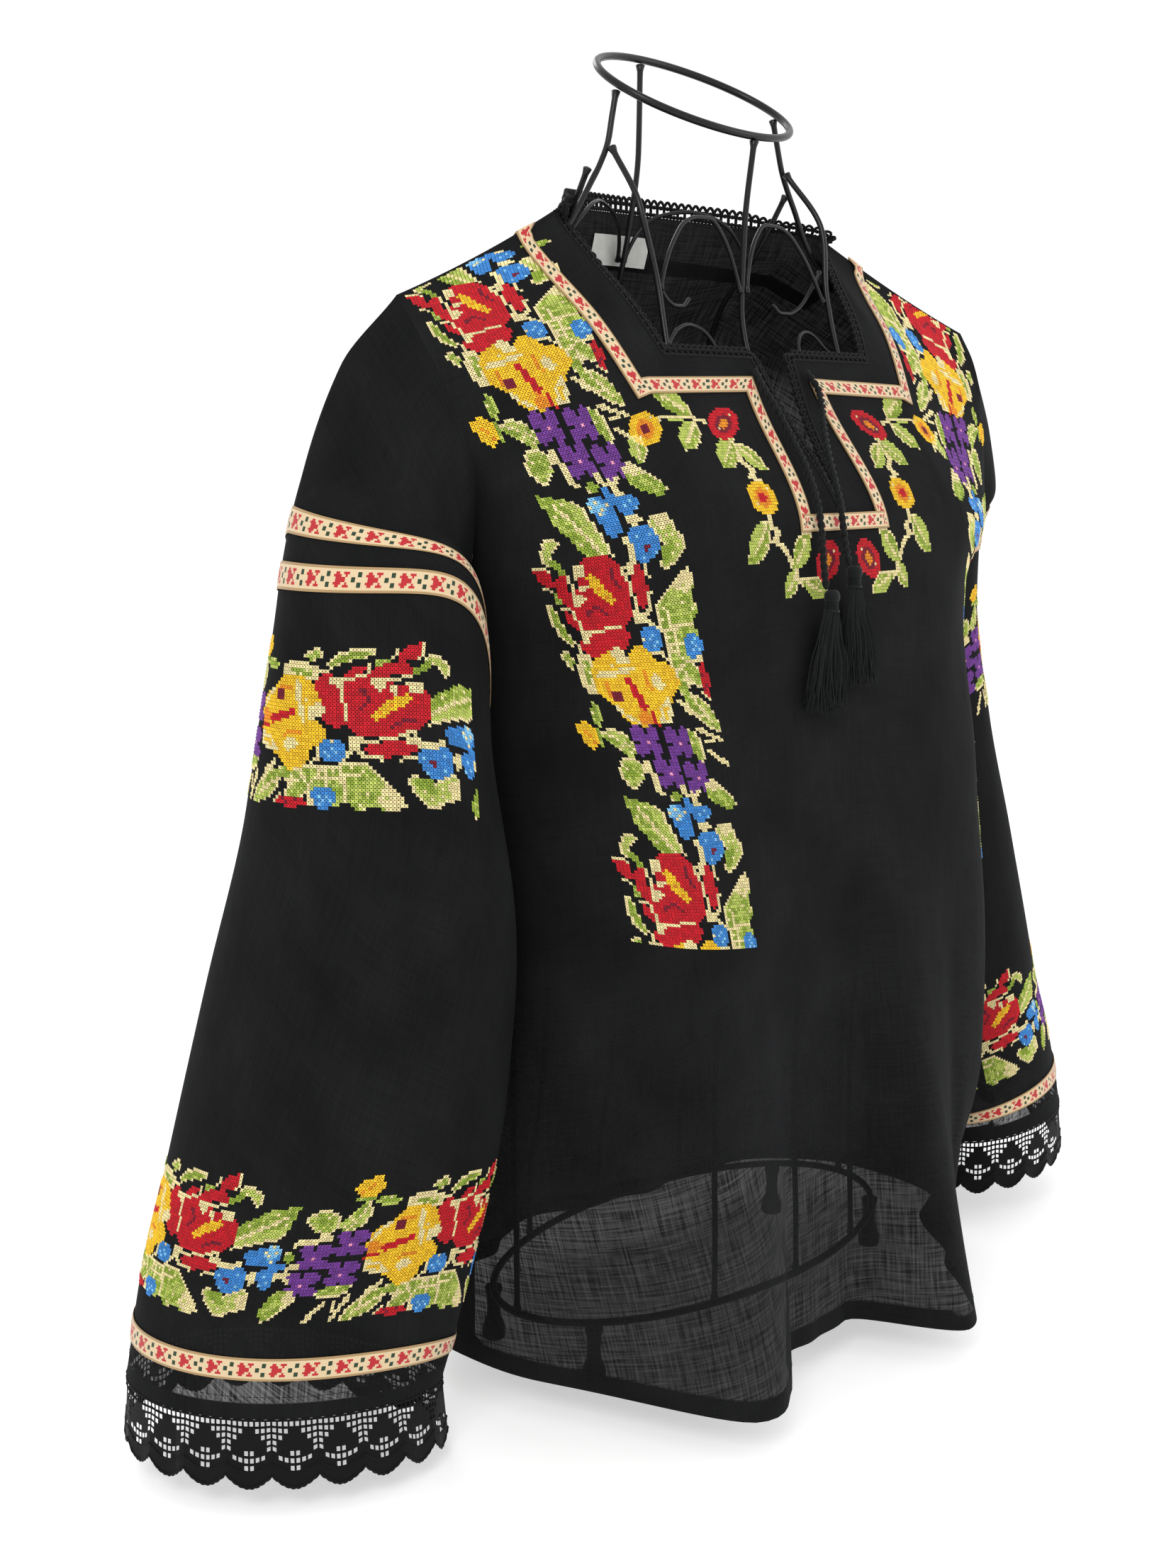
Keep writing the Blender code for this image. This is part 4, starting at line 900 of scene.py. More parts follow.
# %% The routes of the wires, in mm, on the wearer's left
RING_WIRE, RIB_WIRE, SCROLL_WIRE = 2.2 * MM, 1.7 * MM, 1.2 * MM
SIDE_WIRES = (
    ("shoulder", RIB_WIRE, 18, (
        (69.5, 38.5, 702.5), (74, 38, 686), (78.5, 37.5, 671), (86, 37.5, 659), (95, 38, 646),
        (103, 38.5, 634), (112, 38.5, 624.5), (121, 37.5, 618.5), (132, 35.5, 615),
        (160, 31, 607),
        (195, 25.5, 594.5), (220, 22.5, 586.5), (233, 20.5, 578), (237.5, 20.5, 568),
        (237, 22, 556))),
    ("side_rib", RIB_WIRE, 13, (
        (236.9, 22.1, 555), (229, 27, 528), (212, 32, 490), (188, 36, 445), (170, 37, 385),
        (162, 36, 340), (158, 36, 280), (156, 36, 200), (156, 36, 120), (155, 35, 60),
        (155, 35, 22.6))),
    ("front_rib", RIB_WIRE, 17, (
        (77.5, 34, 671.5), (81, 25, 661), (83, 16, 650), (81, 8.5, 635), (78.5, 4, 619),
        (76.5, 1.5, 601), (76, -1, 582), (78, -8, 560), (84, -27, 530), (88, -46, 500),
        (90, -62.5, 462),
        (91, -68.5, 420), (89, -68, 385), (78, -55, 310), (68, -42, 230), (65, -36, 130),
        (66, -38, 60), (67, -39, 22.6))),
    ("back_rib", RIB_WIRE, 17, (
        (88, 42.5, 660.5), (91, 47, 649), (90, 54, 636), (84, 68, 622), (81, 84, 600),
        (82, 101, 560), (84, 112, 510), (85, 119, 450), (84, 116, 385), (76, 98, 300),
        (70, 92, 210), (70, 98, 120), (72, 107, 60), (72, 107.6, 22.6))),
    ("front_arch", SCROLL_WIRE, 11, (
        (3.6, 3, 597), (7, 5, 612), (15, 7, 628), (28, 8, 637), (42, 8, 635),
        (56, 6.5, 624), (67, 4, 608), (73, 1.8, 595))),
    ("low_arch", SCROLL_WIRE, 8, (
        (36, -14, 552), (38, -8, 565), (46, -3, 575), (56, -1, 577), (66, -1.5, 571),
        (73, -5, 562.5))),
    ("back_arch", SCROLL_WIRE, 11, (
        (3.6, 99, 620), (8, 92, 636), (22, 86, 647), (40, 78, 650), (58, 69, 645),
        (72, 66, 634), (80.5, 70, 623.5))),
    ("leaf", SCROLL_WIRE, 8, (
        (74, 7.5, 613), (68, 8.5, 600), (58, 9.5, 590), (47, 10.5, 587), (38, 11.5, 592))),
)
MIDDLE_WIRES = (
    ("front_middle", RIB_WIRE, 16, (
        (0, -3, 679.5), (0, -1, 660), (0, 3, 634), (0, 5, 605), (0, 4, 580), (0, -4, 552),
        (0, -26, 510), (0, -52, 466), (0, -66, 430), (0, -68, 390), (0, -58, 320),
        (0, -47, 240), (0, -43, 140), (0, -46, 60), (0, -47, 22.6))),
    ("back_middle", RIB_WIRE, 16, (
        (0, 83, 730.5), (0, 83, 700), (0, 84.5, 678), (0, 88, 658), (0, 91, 640),
        (0, 96.5, 618), (0, 107, 580), (0, 120, 520), (0, 126, 460), (0, 125, 400),
        (0, 108, 310), (0, 100, 220), (0, 104, 120), (0, 114, 60), (0, 117, 22.6))),
)
SEATS = {
    "front_arch": ((0, "front_middle"), (-1, "front_rib")),
    "low_arch": ((-1, "front_rib"),),
    "back_arch": ((0, "back_middle"), (-1, "back_rib")),
    "leaf": ((0, "front_rib"),),
}
ROUTES = {wire[0]: curve_points(wire[3], wire[2]) for wire in SIDE_WIRES + MIDDLE_WIRES}
print("wires:", len(ROUTES))

# %% Bend the rods
# sides of a rod, mm between its rings, length of a bead of weld, and how far an end narrows
ROD_SIDES, ROD_STEP, BEAD_REACH, DOME = 14, 3.5, 2.2 * MM, 0.55
BEADS = {"leaf": (0.7, 0.1), "low_arch": (0.1, 0.7)}     # swell of the weld at each end, in mm
MIDDLE_BEADS, SIDE_BEADS = (1.1, 1.1), (0.9, 0.9)


def seated(name, path):
    """A small wire's corners, with its ends moved up to the wires that carry them."""
    path = np.array(path, float)
    for end, carrier in SEATS.get(name, ()):
        fine = curve_points(ROUTES[carrier], 600)
        near = fine[np.argmin(np.linalg.norm(fine - path[end], axis=1))]
        path[end] = near + unit(path[end] - near) * (RIB_WIRE + SCROLL_WIRE + JOINT_GAP) / MM
    return path


def put_wire(node, points, faces, uv, name="rod_"):
    make_piece(name + node, points, faces, enamel, uv, stands_for="form_" + node)


def put_rod(node, path, radius, count, beads):
    """A round rod with domed ends and a bead of weld at each."""
    fine = curve_points(path, count)
    fine = curve_points(fine, max(24, int(run_of(fine)[-1] / MM / ROD_STEP)))
    run = run_of(fine)
    swell = np.full(len(fine), radius)
    for size, away in zip(beads, (run, run[-1] - run)):
        swell += size * MM * np.exp(-(away / BEAD_REACH) ** 2)
    start = fine[0] - unit(fine[1] - fine[0]) * JOINT_GAP * 2
    stop = fine[-1] + unit(fine[-1] - fine[-2]) * JOINT_GAP * 2
    fine = np.concatenate([[start], fine, [stop]])
    swell = np.concatenate([[swell[0] * DOME], swell, [swell[-1] * DOME]])
    put_wire(node, tube_points(fine, swell, ROD_SIDES, (0.3, -1, 0.2)),
             tube_faces(len(fine), ROD_SIDES),
             net_uv(np.arange(ROD_SIDES) * 0.8, run_of(fine) / MM))


for name, radius, count, path in MIDDLE_WIRES:
    put_rod(name, np.array(path) * MM, radius, count, MIDDLE_BEADS)
for name, radius, count, path in SIDE_WIRES:
    for side, sign in SIDES:
        put_rod(name + "_" + side, seated(name, path) * MM * (sign, 1, 1), radius, count,
                BEADS.get(name, SIDE_BEADS))

# %% The neck ring, the hem hoop and the feet
NECK_RING, NECK_RING_HALF, NECK_RING_TILT = (0, 40.5 * MM, 708 * MM), (69 * MM, 50 * MM), 31
HOOP_Z, HOOP_CENTRE_Y, HOOP_HALF = 20 * MM, 35 * MM, (155 * MM, 82 * MM)
FOOT_RADIUS, FOOT_ANGLES, FOOT_SIDES, RING_STEPS = 7 * MM, (30, 150, 210, 330), 28, 150
FOOT = ((0.3, 0), (0.86, 0), (0.97, 0.02), (1, 0.06), (1, 0.2), (0.86, 0.3), (0.62, 0.42),
        (0.55, 0.6), (0.6, 0.82), (0.75, 0.95), (0.7, 1.0), (0.2, 1.0))


def put_ring(node, centre, half, tilt):
    turn, around = turns_of(RING_STEPS), turns_of(ROD_SIDES)[:, None]
    line = np.stack([half[0] * np.cos(turn), half[1] * np.sin(turn), 0 * turn], -1)
    out = unit(np.stack([half[1] * np.cos(turn), half[0] * np.sin(turn), 0 * turn], -1))
    rings = line[:, None] + RING_WIRE * (out[:, None] * np.cos(around) + UP * np.sin(around))
    lean = math.radians(tilt)
    bend = np.array([[1, 0, 0], [0, math.cos(lean), -math.sin(lean)],
                     [0, math.sin(lean), math.cos(lean)]])
    quads = grid_faces(RING_STEPS + 1, ROD_SIDES, closed=True) % (RING_STEPS * ROD_SIDES)
    put_wire(node, rings @ bend.T + centre, [quads],
             net_uv(np.arange(ROD_SIDES) * 0.8, run_of(line) / MM))


put_ring("neck_ring", NECK_RING, NECK_RING_HALF, NECK_RING_TILT)
put_ring("hoop", (0, HOOP_CENTRE_Y, HOOP_Z), HOOP_HALF, 0)
foot_high = HOOP_Z - RING_WIRE - JOINT_GAP + PLACE[2]
for angle in FOOT_ANGLES:
    turn = math.radians(angle)
    at = np.array([HOOP_HALF[0] * math.cos(turn), HOOP_CENTRE_Y + HOOP_HALF[1] * math.sin(turn),
                   -PLACE[2]])
    put_wire("foot_%d" % angle, turned(FOOT, FOOT_SIDES, FOOT_RADIUS, foot_high, at),
             [f[:, ::-1] for f in tube_faces(len(FOOT), FOOT_SIDES)],
             net_uv(np.arange(FOOT_SIDES) * 1.5, np.arange(len(FOOT)) * 3.0), name="")
print("wire pieces done, pieces:", len(pieces))

# %% [markdown]
# ## Cross-stitch from a chart
# The flowers are counted cross-stitch: each square of the cloth's grid carries two short crossing
# threads of one colour. A maker works from a chart on squared paper. Here the chart is drawn the
# same way, shape by shape, each shape a patch of petals or a leaf with its own thread.

# %% Thread colours and squared paper
THREADS = {
    "red": (0.52, 0.003, 0.012), "wine": (0.17, 0.004, 0.02), "gold": (0.84, 0.5, 0.014),
    "orange": (0.76, 0.25, 0.01), "violet": (0.15, 0.035, 0.26), "pink": (0.8, 0.3, 0.45),
    "blue": (0.04, 0.22, 0.58), "sky": (0.2, 0.5, 0.8), "olive": (0.24, 0.34, 0.03),
    "lime": (0.44, 0.52, 0.1), "cream": (0.78, 0.66, 0.33),
}
NAMES = list(THREADS)
BARE = -1


class Chart:
    """Squared paper. The chart of a running border repeats down the page."""

    def __init__(self, wide, high, repeats):
        self.wide, self.high, self.repeats = wide, high, repeats
        self.cells = np.full((high, wide), BARE)

    def stitch(self, u, v, thread):
        v = v % self.high if self.repeats else v
        if 0 <= u < self.wide and 0 <= v < self.high:
            self.cells[v, u] = NAMES.index(thread)

    def patch(self, thread, *corners, edge=None, sides="lrtb"):
        """Fills the shape between the corners; edge is the thread of its outline on some sides."""
        corners = np.array(corners, float)
        (u0, v0), (u1, v1) = np.floor(corners.min(0)) - 1, np.ceil(corners.max(0)) + 1
        u, v = np.meshgrid(np.arange(u0, u1), np.arange(v0, v1))
        inside = np.zeros(u.shape, bool)
        for (ax, ay), (bx, by) in zip(corners, np.roll(corners, -1, 0)):
            if ay != by:
                between = (ay > v + 0.5) != (by > v + 0.5)
                inside ^= between & (u + 0.5 < (bx - ax) * (v + 0.5 - ay) / (by - ay) + ax)
        filled = set(zip(u[inside].astype(int).tolist(), v[inside].astype(int).tolist()))
        ways = {"l": (-1, 0), "r": (1, 0), "t": (0, -1), "b": (0, 1)}
        for at in filled:
            rim = any((at[0] + ways[s][0], at[1] + ways[s][1]) not in filled for s in sides)
            self.stitch(*at, edge if edge and rim else thread)

    def row(self, thread, *stops, wide=1):
        """A line of stitches from stop to stop."""
        for (a, b), (c, d) in zip(stops[:-1], stops[1:]):
            for t in np.linspace(0, 1, int(max(abs(c - a), abs(d - b)) * 2) + 1):
                for k in range(int(wide)):
                    self.stitch(int(np.floor(a + (c - a) * t)) + k,
                                int(np.floor(b + (d - b) * t)), thread)

    def spot(self, thread, middle, half, lean=0.0):
        """A round patch; lean pushes its lower part sideways."""
        self.patch(thread, *((middle[0] + half[0] * math.cos(a) + lean * half[1] * math.sin(a),
                              middle[1] + half[1] * math.sin(a)) for a in turns_of(24)))

    def knots(self, thread, *places):
        for u, v in places:
            self.stitch(int(u), int(v), thread)

    def draw(self, lines):
        """Each line: what to draw, its thread, places as column,row, and settings. An indented
        line belongs to the one above it.
        """
        ways = {"patch": self.patch, "row": self.row, "spot": self.spot, "knots": self.knots}
        for line in lines.strip().replace("\n  ", " ").splitlines():
            how, thread, *words = line.split()
            places = [tuple(map(float, word.split(","))) for word in words if "," in word]
            ways[how](thread, *places, **dict(word.split("=") for word in words if "=" in word))
        print("stitches so far:", int((self.cells != BARE).sum()))


def shade_leaves(chart, seed):
    """Real leaves are worked in mixed greens: some olive squares turn lighter."""
    pick = np.random.default_rng(seed).random(chart.cells.shape)
    olive = chart.cells == NAMES.index("olive")
    chart.cells[olive & (pick < 0.3)] = NAMES.index("lime")
    chart.cells[olive & (pick > 0.93)] = NAMES.index("cream")


print("threads:", ", ".join(NAMES))

# %% [markdown]
# ### The rose border
# One border is used all over the blouse: a red rose, a yellow rose and a bunch of violets, with
# blue flowers and leaves between them, 46 stitches wide and 91 long. It is a traditional kind
# of border, drawn here on the squared paper.

# %% Chart of the rose border: leaves and blue flowers
border = Chart(46, 91, repeats=True)
border.draw("""
patch olive 8,0 11,1 16,3 19,9 20,13 22,18 20,19 15,18 12,13 9,8
patch lime 14,3 17,3.5 19.5,9 20.5,13 22.3,18 20,19 17,12
row cream 11,3 15,10 19,17
row cream 16,3 18,5 19,9 20,12 21,15 22,18
patch olive 22,0 25,-1 26,1 24,2 22,2
patch cream 29,-1 32,-2 33,0 31,1 32,4 30,5 29,2
patch blue 21,3 25,3 27,5 27,13 24,14 22,12 21,8
patch sky 21,3 23,3 24,5 26,6 24,8 21,7 20,6
knots cream 22,4 23,6 25,5 22,7 20,5
patch blue 26,1 28,1 29,4 34,4 35,6 34,8 30,9 28,7 26,4
knots sky 30,6 32,5 33,7
patch blue 28,13 30,12 34,12 37,14 37,18 35,21 31,22 28,20
knots wine 32,17 33,17 32,18
knots sky 30,14 34,14 31,20 35,19
patch cream 29,9 33,9 34,11 31,12 29,11
row cream 26,14 27,16 27,19 28,22 29,24 wide=2
patch lime 35,11 38,10 42,10 43,14 45,16 45,19 42,23 38,25 36,23 38,18 36,14 edge=cream
patch olive 37,18 41,17 42,20 39,23 37,23
patch cream 37,11 41,11 42,13 38,14
knots cream 39,15 41,15 43,16 42,18
patch lime 4,13 7,12 9,13 8,15 6,17 5,20 3,18 edge=cream sides=ltb
row olive 5,18 7,21 8,25 6,29 5,32 wide=2
""")

# %% Chart: the red rose
border.draw("""
patch red 0,20 3,20 5,23 6,27 3,27 1,24
row cream 0,20 2,20 4,21
row cream 2,27 4,28
patch red 12,21 14,18 20,18 23,20 25,24 26,30 26,37 24,40 20,42 12,42 10,38 11,30 12,26
patch red 12,41 22,40 24,43 22,47 17,50 12,50 9,46 10,43
row cream 10,43 12,42 21,40
row cream 10,41 10,44 wide=2
patch red 6,24 9,23 9,27 10,31 10,35 8,34 6,30
patch red 7,35 10,36 11,40 9,41 7,38
row cream 9,23 10,26 10,30 11,33
row cream 10,30 12,31 10,33 wide=2
row cream 6,34 9,35 10,38 11,41
patch cream 11,20 14,20 14,24 11,25
row cream 12,28 14,27.5 wide=2
patch gold 14,24 16,23 18,25 19,28 21,30 22,33 20,34 18,31 16,29 15,26
knots orange 17,28 19,31
row wine 13,36 16,34 18,36
row wine 21,22 22,26 23,28
row cream 24,22 26,27 27,32 27,36
patch cream 25,22 28,21 28,24 27,26
patch red 28,22 30,22 31,26 32,31 30,37 28,34 27,28
row cream 31,22 32,26
row cream 32,31 31,36 29,38
patch cream 26,36 29,37 29,40 26,40
row cream 29,39 32,41 29,43
""")

# %% Chart: the big leaf and its neighbours
border.draw("""
patch olive 2,33 4,33 5,37 6,41 8,45 6,46 3,42 2,37 edge=cream sides=ltb
row cream 8,45 9,48 11,50
spot blue 30,44.5 3.4,3.5
knots sky 30,43 29,44 31,45 30,46
row cream 28,48 32,48 33,50
knots cream 27,44 33,42
patch olive 42,27 45,25 46,28 46,31 45,34 46,38 44,41 45,44 42,48 40,53 36,56 34,52 34,46 33,40
  33,36 36,33 38,30 edge=cream sides=l
patch cream 41,27 45,25 46,28 46,31 43,33 39,31
patch lime 38,31 42,33 41,36 37,35
row cream 36,37 37,41 37,45 38,50
row cream 34,43 38,42 43,41
row cream 35,47 40,46
knots lime 39,37 41,38 43,36 40,40 42,43 39,44 44,32 42,30
spot blue 42.7,47.6 3.2,3.4
knots sky 42,46 43,47 44,48 42,48 43,45
row cream 41,51 44,51
patch olive 36,53 40,51 43,53 44,56 43,59 40,58 38,60 42,62 44,65 46,70 46,73 43,72 39,68 36,63
  35,58 edge=cream sides=tb
row lime 37,55 40,56 42,57
row cream 38,60 40,64 43,69
row lime 41,63 43,66 45,71
row cream 36,53 38,54 38,57
patch red 43,53 45,52 46,57 45,62 43,60
knots wine 43,55 44,58 43,59
row cream 43,51 44,50
row cream 42,60 44,62
patch olive 2,48 5,47 6,50 5,53 3,52 edge=cream sides=lt
patch cream 7,48 11,48 11,52 10,56 10,60 7,60 6,55
patch olive 8,50 10,50 10,54 9,57 8,57
""")

# %% Chart: the yellow rose, the bud and the violets
border.draw("""
patch gold 13,49 17,47 19,46 22,49 24,46 27,46 29,48 30,51 33,51 35,54 36,57 34,60 32,61 31,66
  30,69 25,69 22,70 18,69 15,66 13,62 10,60 10,54 11,51
patch cream 17,47 20,46 22,50 24,52 20,54 14,55 11,55 12,53 18,51
row gold 11,53 17,52 22,51
patch cream 28,53 30,55 31,58 29,60 27,57
patch cream 28,63 31,61 31,66 30,69 26,69
row gold 29,64 28,67
row cream 14,63 16,66 19,68 22,69
patch orange 21,64 24,66 24,69 20,69
row orange 13,56 13,60
row orange 25,53 26,58
patch wine 14,59 17,59 17,62 14,62
patch red 19,55 21,55 22,58 23,61 24,64 22,65 21,62 20,59
row red 24,65 25,69
row cream 33,62 35,64 36,66 38,67 wide=2
patch olive 7,62 9,63 9,67 8,70 6,69 6,66 edge=lime sides=r
patch gold 0,69 4,68 6,71 6,75 3,77 1,74
knots orange 3,72 4,74 2,71
row olive 6,70 7,72 6,75
patch olive 7,71 11,70 14,71 16,75 17,78 14,79 11,76 8,74 edge=cream sides=t
row cream 9,72 13,74 16,77
patch lime 10,71 14,72 14,74 11,73
""")
for u, v in ((20, 74), (30, 75), (24, 84), (33, 86)):
    for du, dv in ((-2.2, -2.4), (2.2, -2.2), (-2.2, 2.2), (2.2, 2.4)):
        border.spot("violet", (u + du, v + dv), (2.2, 2.4))
    border.spot("violet", (u + 0.5, v + 0.5), (1.6, 1.6))
    for du, dv in ((0, -4), (0, -3), (0, 3), (0, 4), (-4, 0), (-3, 0), (3, 0), (4, 0)):
        border.cells[v + dv, u + du] = BARE       # the dark notch between two petals
    border.knots("pink", (u, v))
border.draw("""
patch olive 34,71 37,72 38,76 38,81 36,82 34,78 edge=cream sides=r
row cream 37,71 40,73 44,75 wide=2
row cream 39,75 42,75
row cream 39,78 42,81 45,83 wide=2
patch olive 11,79 15,79 17,82 16,86 13,89 10,88 9,83 edge=cream
row lime 11,87 15,85
row cream 17,80 18,84 18,88 19,90 wide=2
row cream 26,88 27,91 wide=2
patch olive 35,88 39,87 42,90 45,94 46,96 42,97 38,95 35,92 edge=cream sides=t
patch cream 35,88 39,87 41,90 38,91
row lime 38,92 42,95
""")
shade_leaves(border, 3)
print("rose border:", int((border.cells != BARE).sum()), "stitches in one repeat")

# %% [markdown]
# ### Flowers round the neckline
# Small flowers hang on stems below the ribbon, alike on both sides: an orange one at the square
# corner, a red and a yellow one beside the placket, and a red one under it. This chart is one
# half. Its columns count stitches from the centre front, its rows count down the cloth.

# %% Chart of the neckline flowers
posy = Chart(84, 78, repeats=False)


def bloom(u, v, petal, ring, heart, ru=6.4, rv=5.8, lean=0.0):
    posy.spot(petal, (u, v), (ru, rv), lean)
    posy.spot(ring, (u, v), (ru * 0.55, rv * 0.55), lean)
    posy.spot(heart, (u, v), (ru * 0.28, rv * 0.32), lean)
    posy.knots("cream", (u - ru * 0.6, v - rv * 0.5), (u + ru * 0.5, v + 2))


def leaf(tip, end, half):
    """A leaf from its tip to its stalk: one half olive, one half lighter, a cream rim and vein."""
    tip, end = np.array(tip, float), np.array(end, float)
    beside_it = unit(end - tip) @ [[0, 1], [-1, 0]]
    steps = np.linspace(0, 1, 9)
    spine = [tip + (end - tip) * t for t in steps]
    swell = [beside_it * half * math.sin(math.pi * min(1, t * 0.92 + 0.04)) ** 0.8 for t in steps]
    left = [p + w for p, w in zip(spine, swell)]
    right = [p - w for p, w in zip(spine, swell)]
    posy.patch("olive", *(left + right[::-1]), edge="cream", sides="tl")
    posy.patch("lime", *(left[1:-1] + spine[1:-1][::-1]))
    posy.row("cream", tip + (end - tip) * 0.25, tip + (end - tip) * 0.85)


posy.draw("""
row cream 66,17 58,16 50,17 46,18 wide=2
row lime 62,17 56,18
""")
leaf((65, 7), (51, 15), 4.2)
leaf((62, 28), (51, 18), 4.0)
posy.draw("row cream 40,24 38,28 38,33 35,36 38,38 34,40 wide=2")
leaf((49, 35), (38, 24), 4.4)
leaf((29, 36), (38, 26), 3.6)
leaf((81, 29), (77, 17), 3.4)
posy.draw("row cream 36,51 37,54 33,57 36,59 32,61 29,65 27,70 23,73 wide=2")
leaf((48, 66), (38, 53), 4.2)
leaf((19, 57), (28, 68), 3.8)
leaf((12, 77), (24, 72), 3.4)
leaf((33, 77), (26, 68), 3.0)
bloom(73.4, 18.5, "gold", "orange", "wine")
bloom(38.3, 18.7, "red", "wine", "orange", 7.2, 6.0, 0.55)
bloom(37.1, 45.5, "gold", "orange", "red")
bloom(10.9, 66.5, "red", "wine", "orange", 6.2, 6.4, 0.3)
shade_leaves(posy, 5)
print("neckline:", int((posy.cells != BARE).sum()), "stitches a side")

# %% [markdown]
# ## From chart to thread
# Each charted square becomes one cross: a lower leg and an upper leg, laid corner to corner. A
# leg is a small hipped roof with a ridge, a couple of tenths of a millimetre high, which catches
# light the way floss does. The corners come from the cloth itself, so the crosses follow it.

# %% Stitch finish
floss = Finish("embroidery_floss", Roughness=0.55, Sheen_Weight=0.06, Sheen_Roughness=0.35,
               Specular_IOR_Level=0.25)
strands, uneven = floss.noise(5.0, 5.0), floss.noise(0.35, 0.35)
floss.show(
    Base_Color=floss.shade(floss.attribute("thread", "Color"),
                           0.68 + 0.3 * strands + 0.34 * uneven),
    Roughness=0.42 + 0.3 * strands,
    Normal=floss.bump(strands, 0.6, 0.15 * MM),
)

# %% Lay the crosses
LEG_LIFT, LEG_LOW = (0.44 * MM, 0.56 * MM), 0.06 * MM    # height of each leg's ridge, and rim
LEG_HALF, LEG_SHORT, HIP = (0.12, 0.132), 0.085, 0.27    # shares of the square's diagonal
SHADES = (0.8, 1.16)                                     # how thread varies, from cross to cross


def crosses(name, corners, centre, threads):
    """corners: a grid of points, one more each way than threads; centre: what they face from."""
    i, j = np.argwhere(threads != BARE).T
    normals = grid_normals(corners, centre)
    a, b, c, d = corners[i, j], corners[i, j + 1], corners[i + 1, j + 1], corners[i + 1, j]
    up = unit(normals[i, j] + normals[i + 1, j + 1])
    count = len(i)
    hue = np.array([THREADS[n] for n in NAMES])[threads[i, j]]
    hue = hue * np.random.default_rng(count).uniform(*SHADES, (count, 1))
    points, uv, colours = [], [], []
    for leg, (start, end) in enumerate(((a, c), (b, d))):
        along = end - start
        side = np.cross(up, along) * LEG_HALF[leg]
        low, top = up * LEG_LOW, up * LEG_LIFT[leg]
        start, end = start + along * LEG_SHORT, end - along * LEG_SHORT
        rim = [start + side + low, start - side + low, end - side + low, end + side + low]
        if leg:
            rim += [start + along * HIP + top, end - along * HIP + top]
        else:
            rim.append((a + b + c + d) / 4 + top)
        k = np.arange(len(rim))
        points.append(np.stack(rim, 1).reshape(-1, 3))
        uv.append((np.stack([j, i], -1)[:, None] * 1.8
                   + np.stack([k % 3, k // 2], -1) * 0.5).reshape(-1, 2))
        colours.append(np.repeat(hue, len(rim), 0))
    lower, upper = np.arange(count)[:, None] * 5, np.arange(count)[:, None] * 6 + 5 * count
    tris = [lower + np.array([k, (k + 1) % 4, 4]) for k in range(4)]
    tris += [upper + np.array([0, 1, 4]), upper + np.array([2, 3, 5])]
    quads = [upper + np.array([1, 2, 5, 4]), upper + np.array([3, 0, 4, 5])]
    make_piece(name, np.concatenate(points), [np.concatenate(tris), np.concatenate(quads)],
               floss, np.concatenate(uv), np.concatenate(colours))


print("a cross has 8 faces")

# %% [markdown]
# ### The two shoulder columns
# A column of the border starts at the shoulder ridge on each side and runs down the chest to a
# straight end. Both drift towards the middle as they fall, and the left one swings back out. A
# short table gives each column's middle and its stitch size row by row.

# %% Columns on the front
# border row: length below the ridge, middle, stitch width and lean, in mm
COLUMN_RIGHT = Table(
    "row length middle pitch lean",
    (3, 0, 197, 2.8, 0.5), (8, 5, 196.5, 2.8, 0.5), (20, 16, 195.4, 2.65, 0.6),
    (32, 31, 193.9, 2.52, 0.5), (46, 51, 191.4, 2.38, 0.42), (60, 75.5, 188.2, 2.25, 0.3),
    (75, 104.8, 183.9, 2.13, 0.18), (91, 137, 178.5, 2.01, 0.08), (108, 169.7, 172.1, 1.91, 0.02),
    (125, 200.5, 165.2, 1.83, 0), (145, 236, 157.1, 1.76, 0), (165, 270.2, 149.6, 1.74, 0),
    (185, 304, 143.6, 1.75, 0.04), (208, 343, 139.8, 1.77, 0.15), (232, 382, 139.7, 1.8, 0.28),
)
COLUMN_LEFT = Table(
    "row length middle pitch lean",
    (22, 0, 208, 2.5, 0.3), (32, 8, 205, 2.45, 0.3), (46, 42, 200, 2.35, 0.3),
    (60, 75, 193, 2.25, 0.25), (75, 104.8, 184, 2.15, 0.2), (91, 146, 170, 1.97, 0.1),
    (108, 174, 182, 1.87, 0), (125, 202, 195, 1.83, 0), (145, 236, 201, 1.78, 0),
    (232, 382, 204, 1.8, 0),
)
COLUMN_END, COLUMN_AXIS, COLUMN_MIDDLE, SEAM_BARE = 231, 190 * MM, 23, 4 * MM
LOWEST, NET_ARC = 1.7, 1.5 * MM


def on_chest(arcs, levels, sign):
    """Points of the front at distances from the centre and levels, read off a fine net."""
    net_levels, net_arcs = np.linspace(0, LOWEST, 341), np.arange(0, 290, NET_ARC / MM) * MM
    found = [x_at_arc(net_arcs, d, sign) for d in net_levels]
    net = np.array([body_point(x, d) for (x, _), d in zip(found, net_levels)])
    r = np.clip(levels / LOWEST, 0, 0.9999) * (len(net_levels) - 1)
    c = np.clip(arcs / NET_ARC, 0, len(net_arcs) - 1.001)
    i, j = r.astype(int), c.astype(int)
    a, b = (r - i)[..., None], (c - j)[..., None]
    points = (net[i, j] * (1 - a) + net[i + 1, j] * a) * (1 - b) \
        + (net[i, j + 1] * (1 - a) + net[i + 1, j + 1] * a) * b
    return points, np.interp(levels, net_levels, [total for _, total in found])


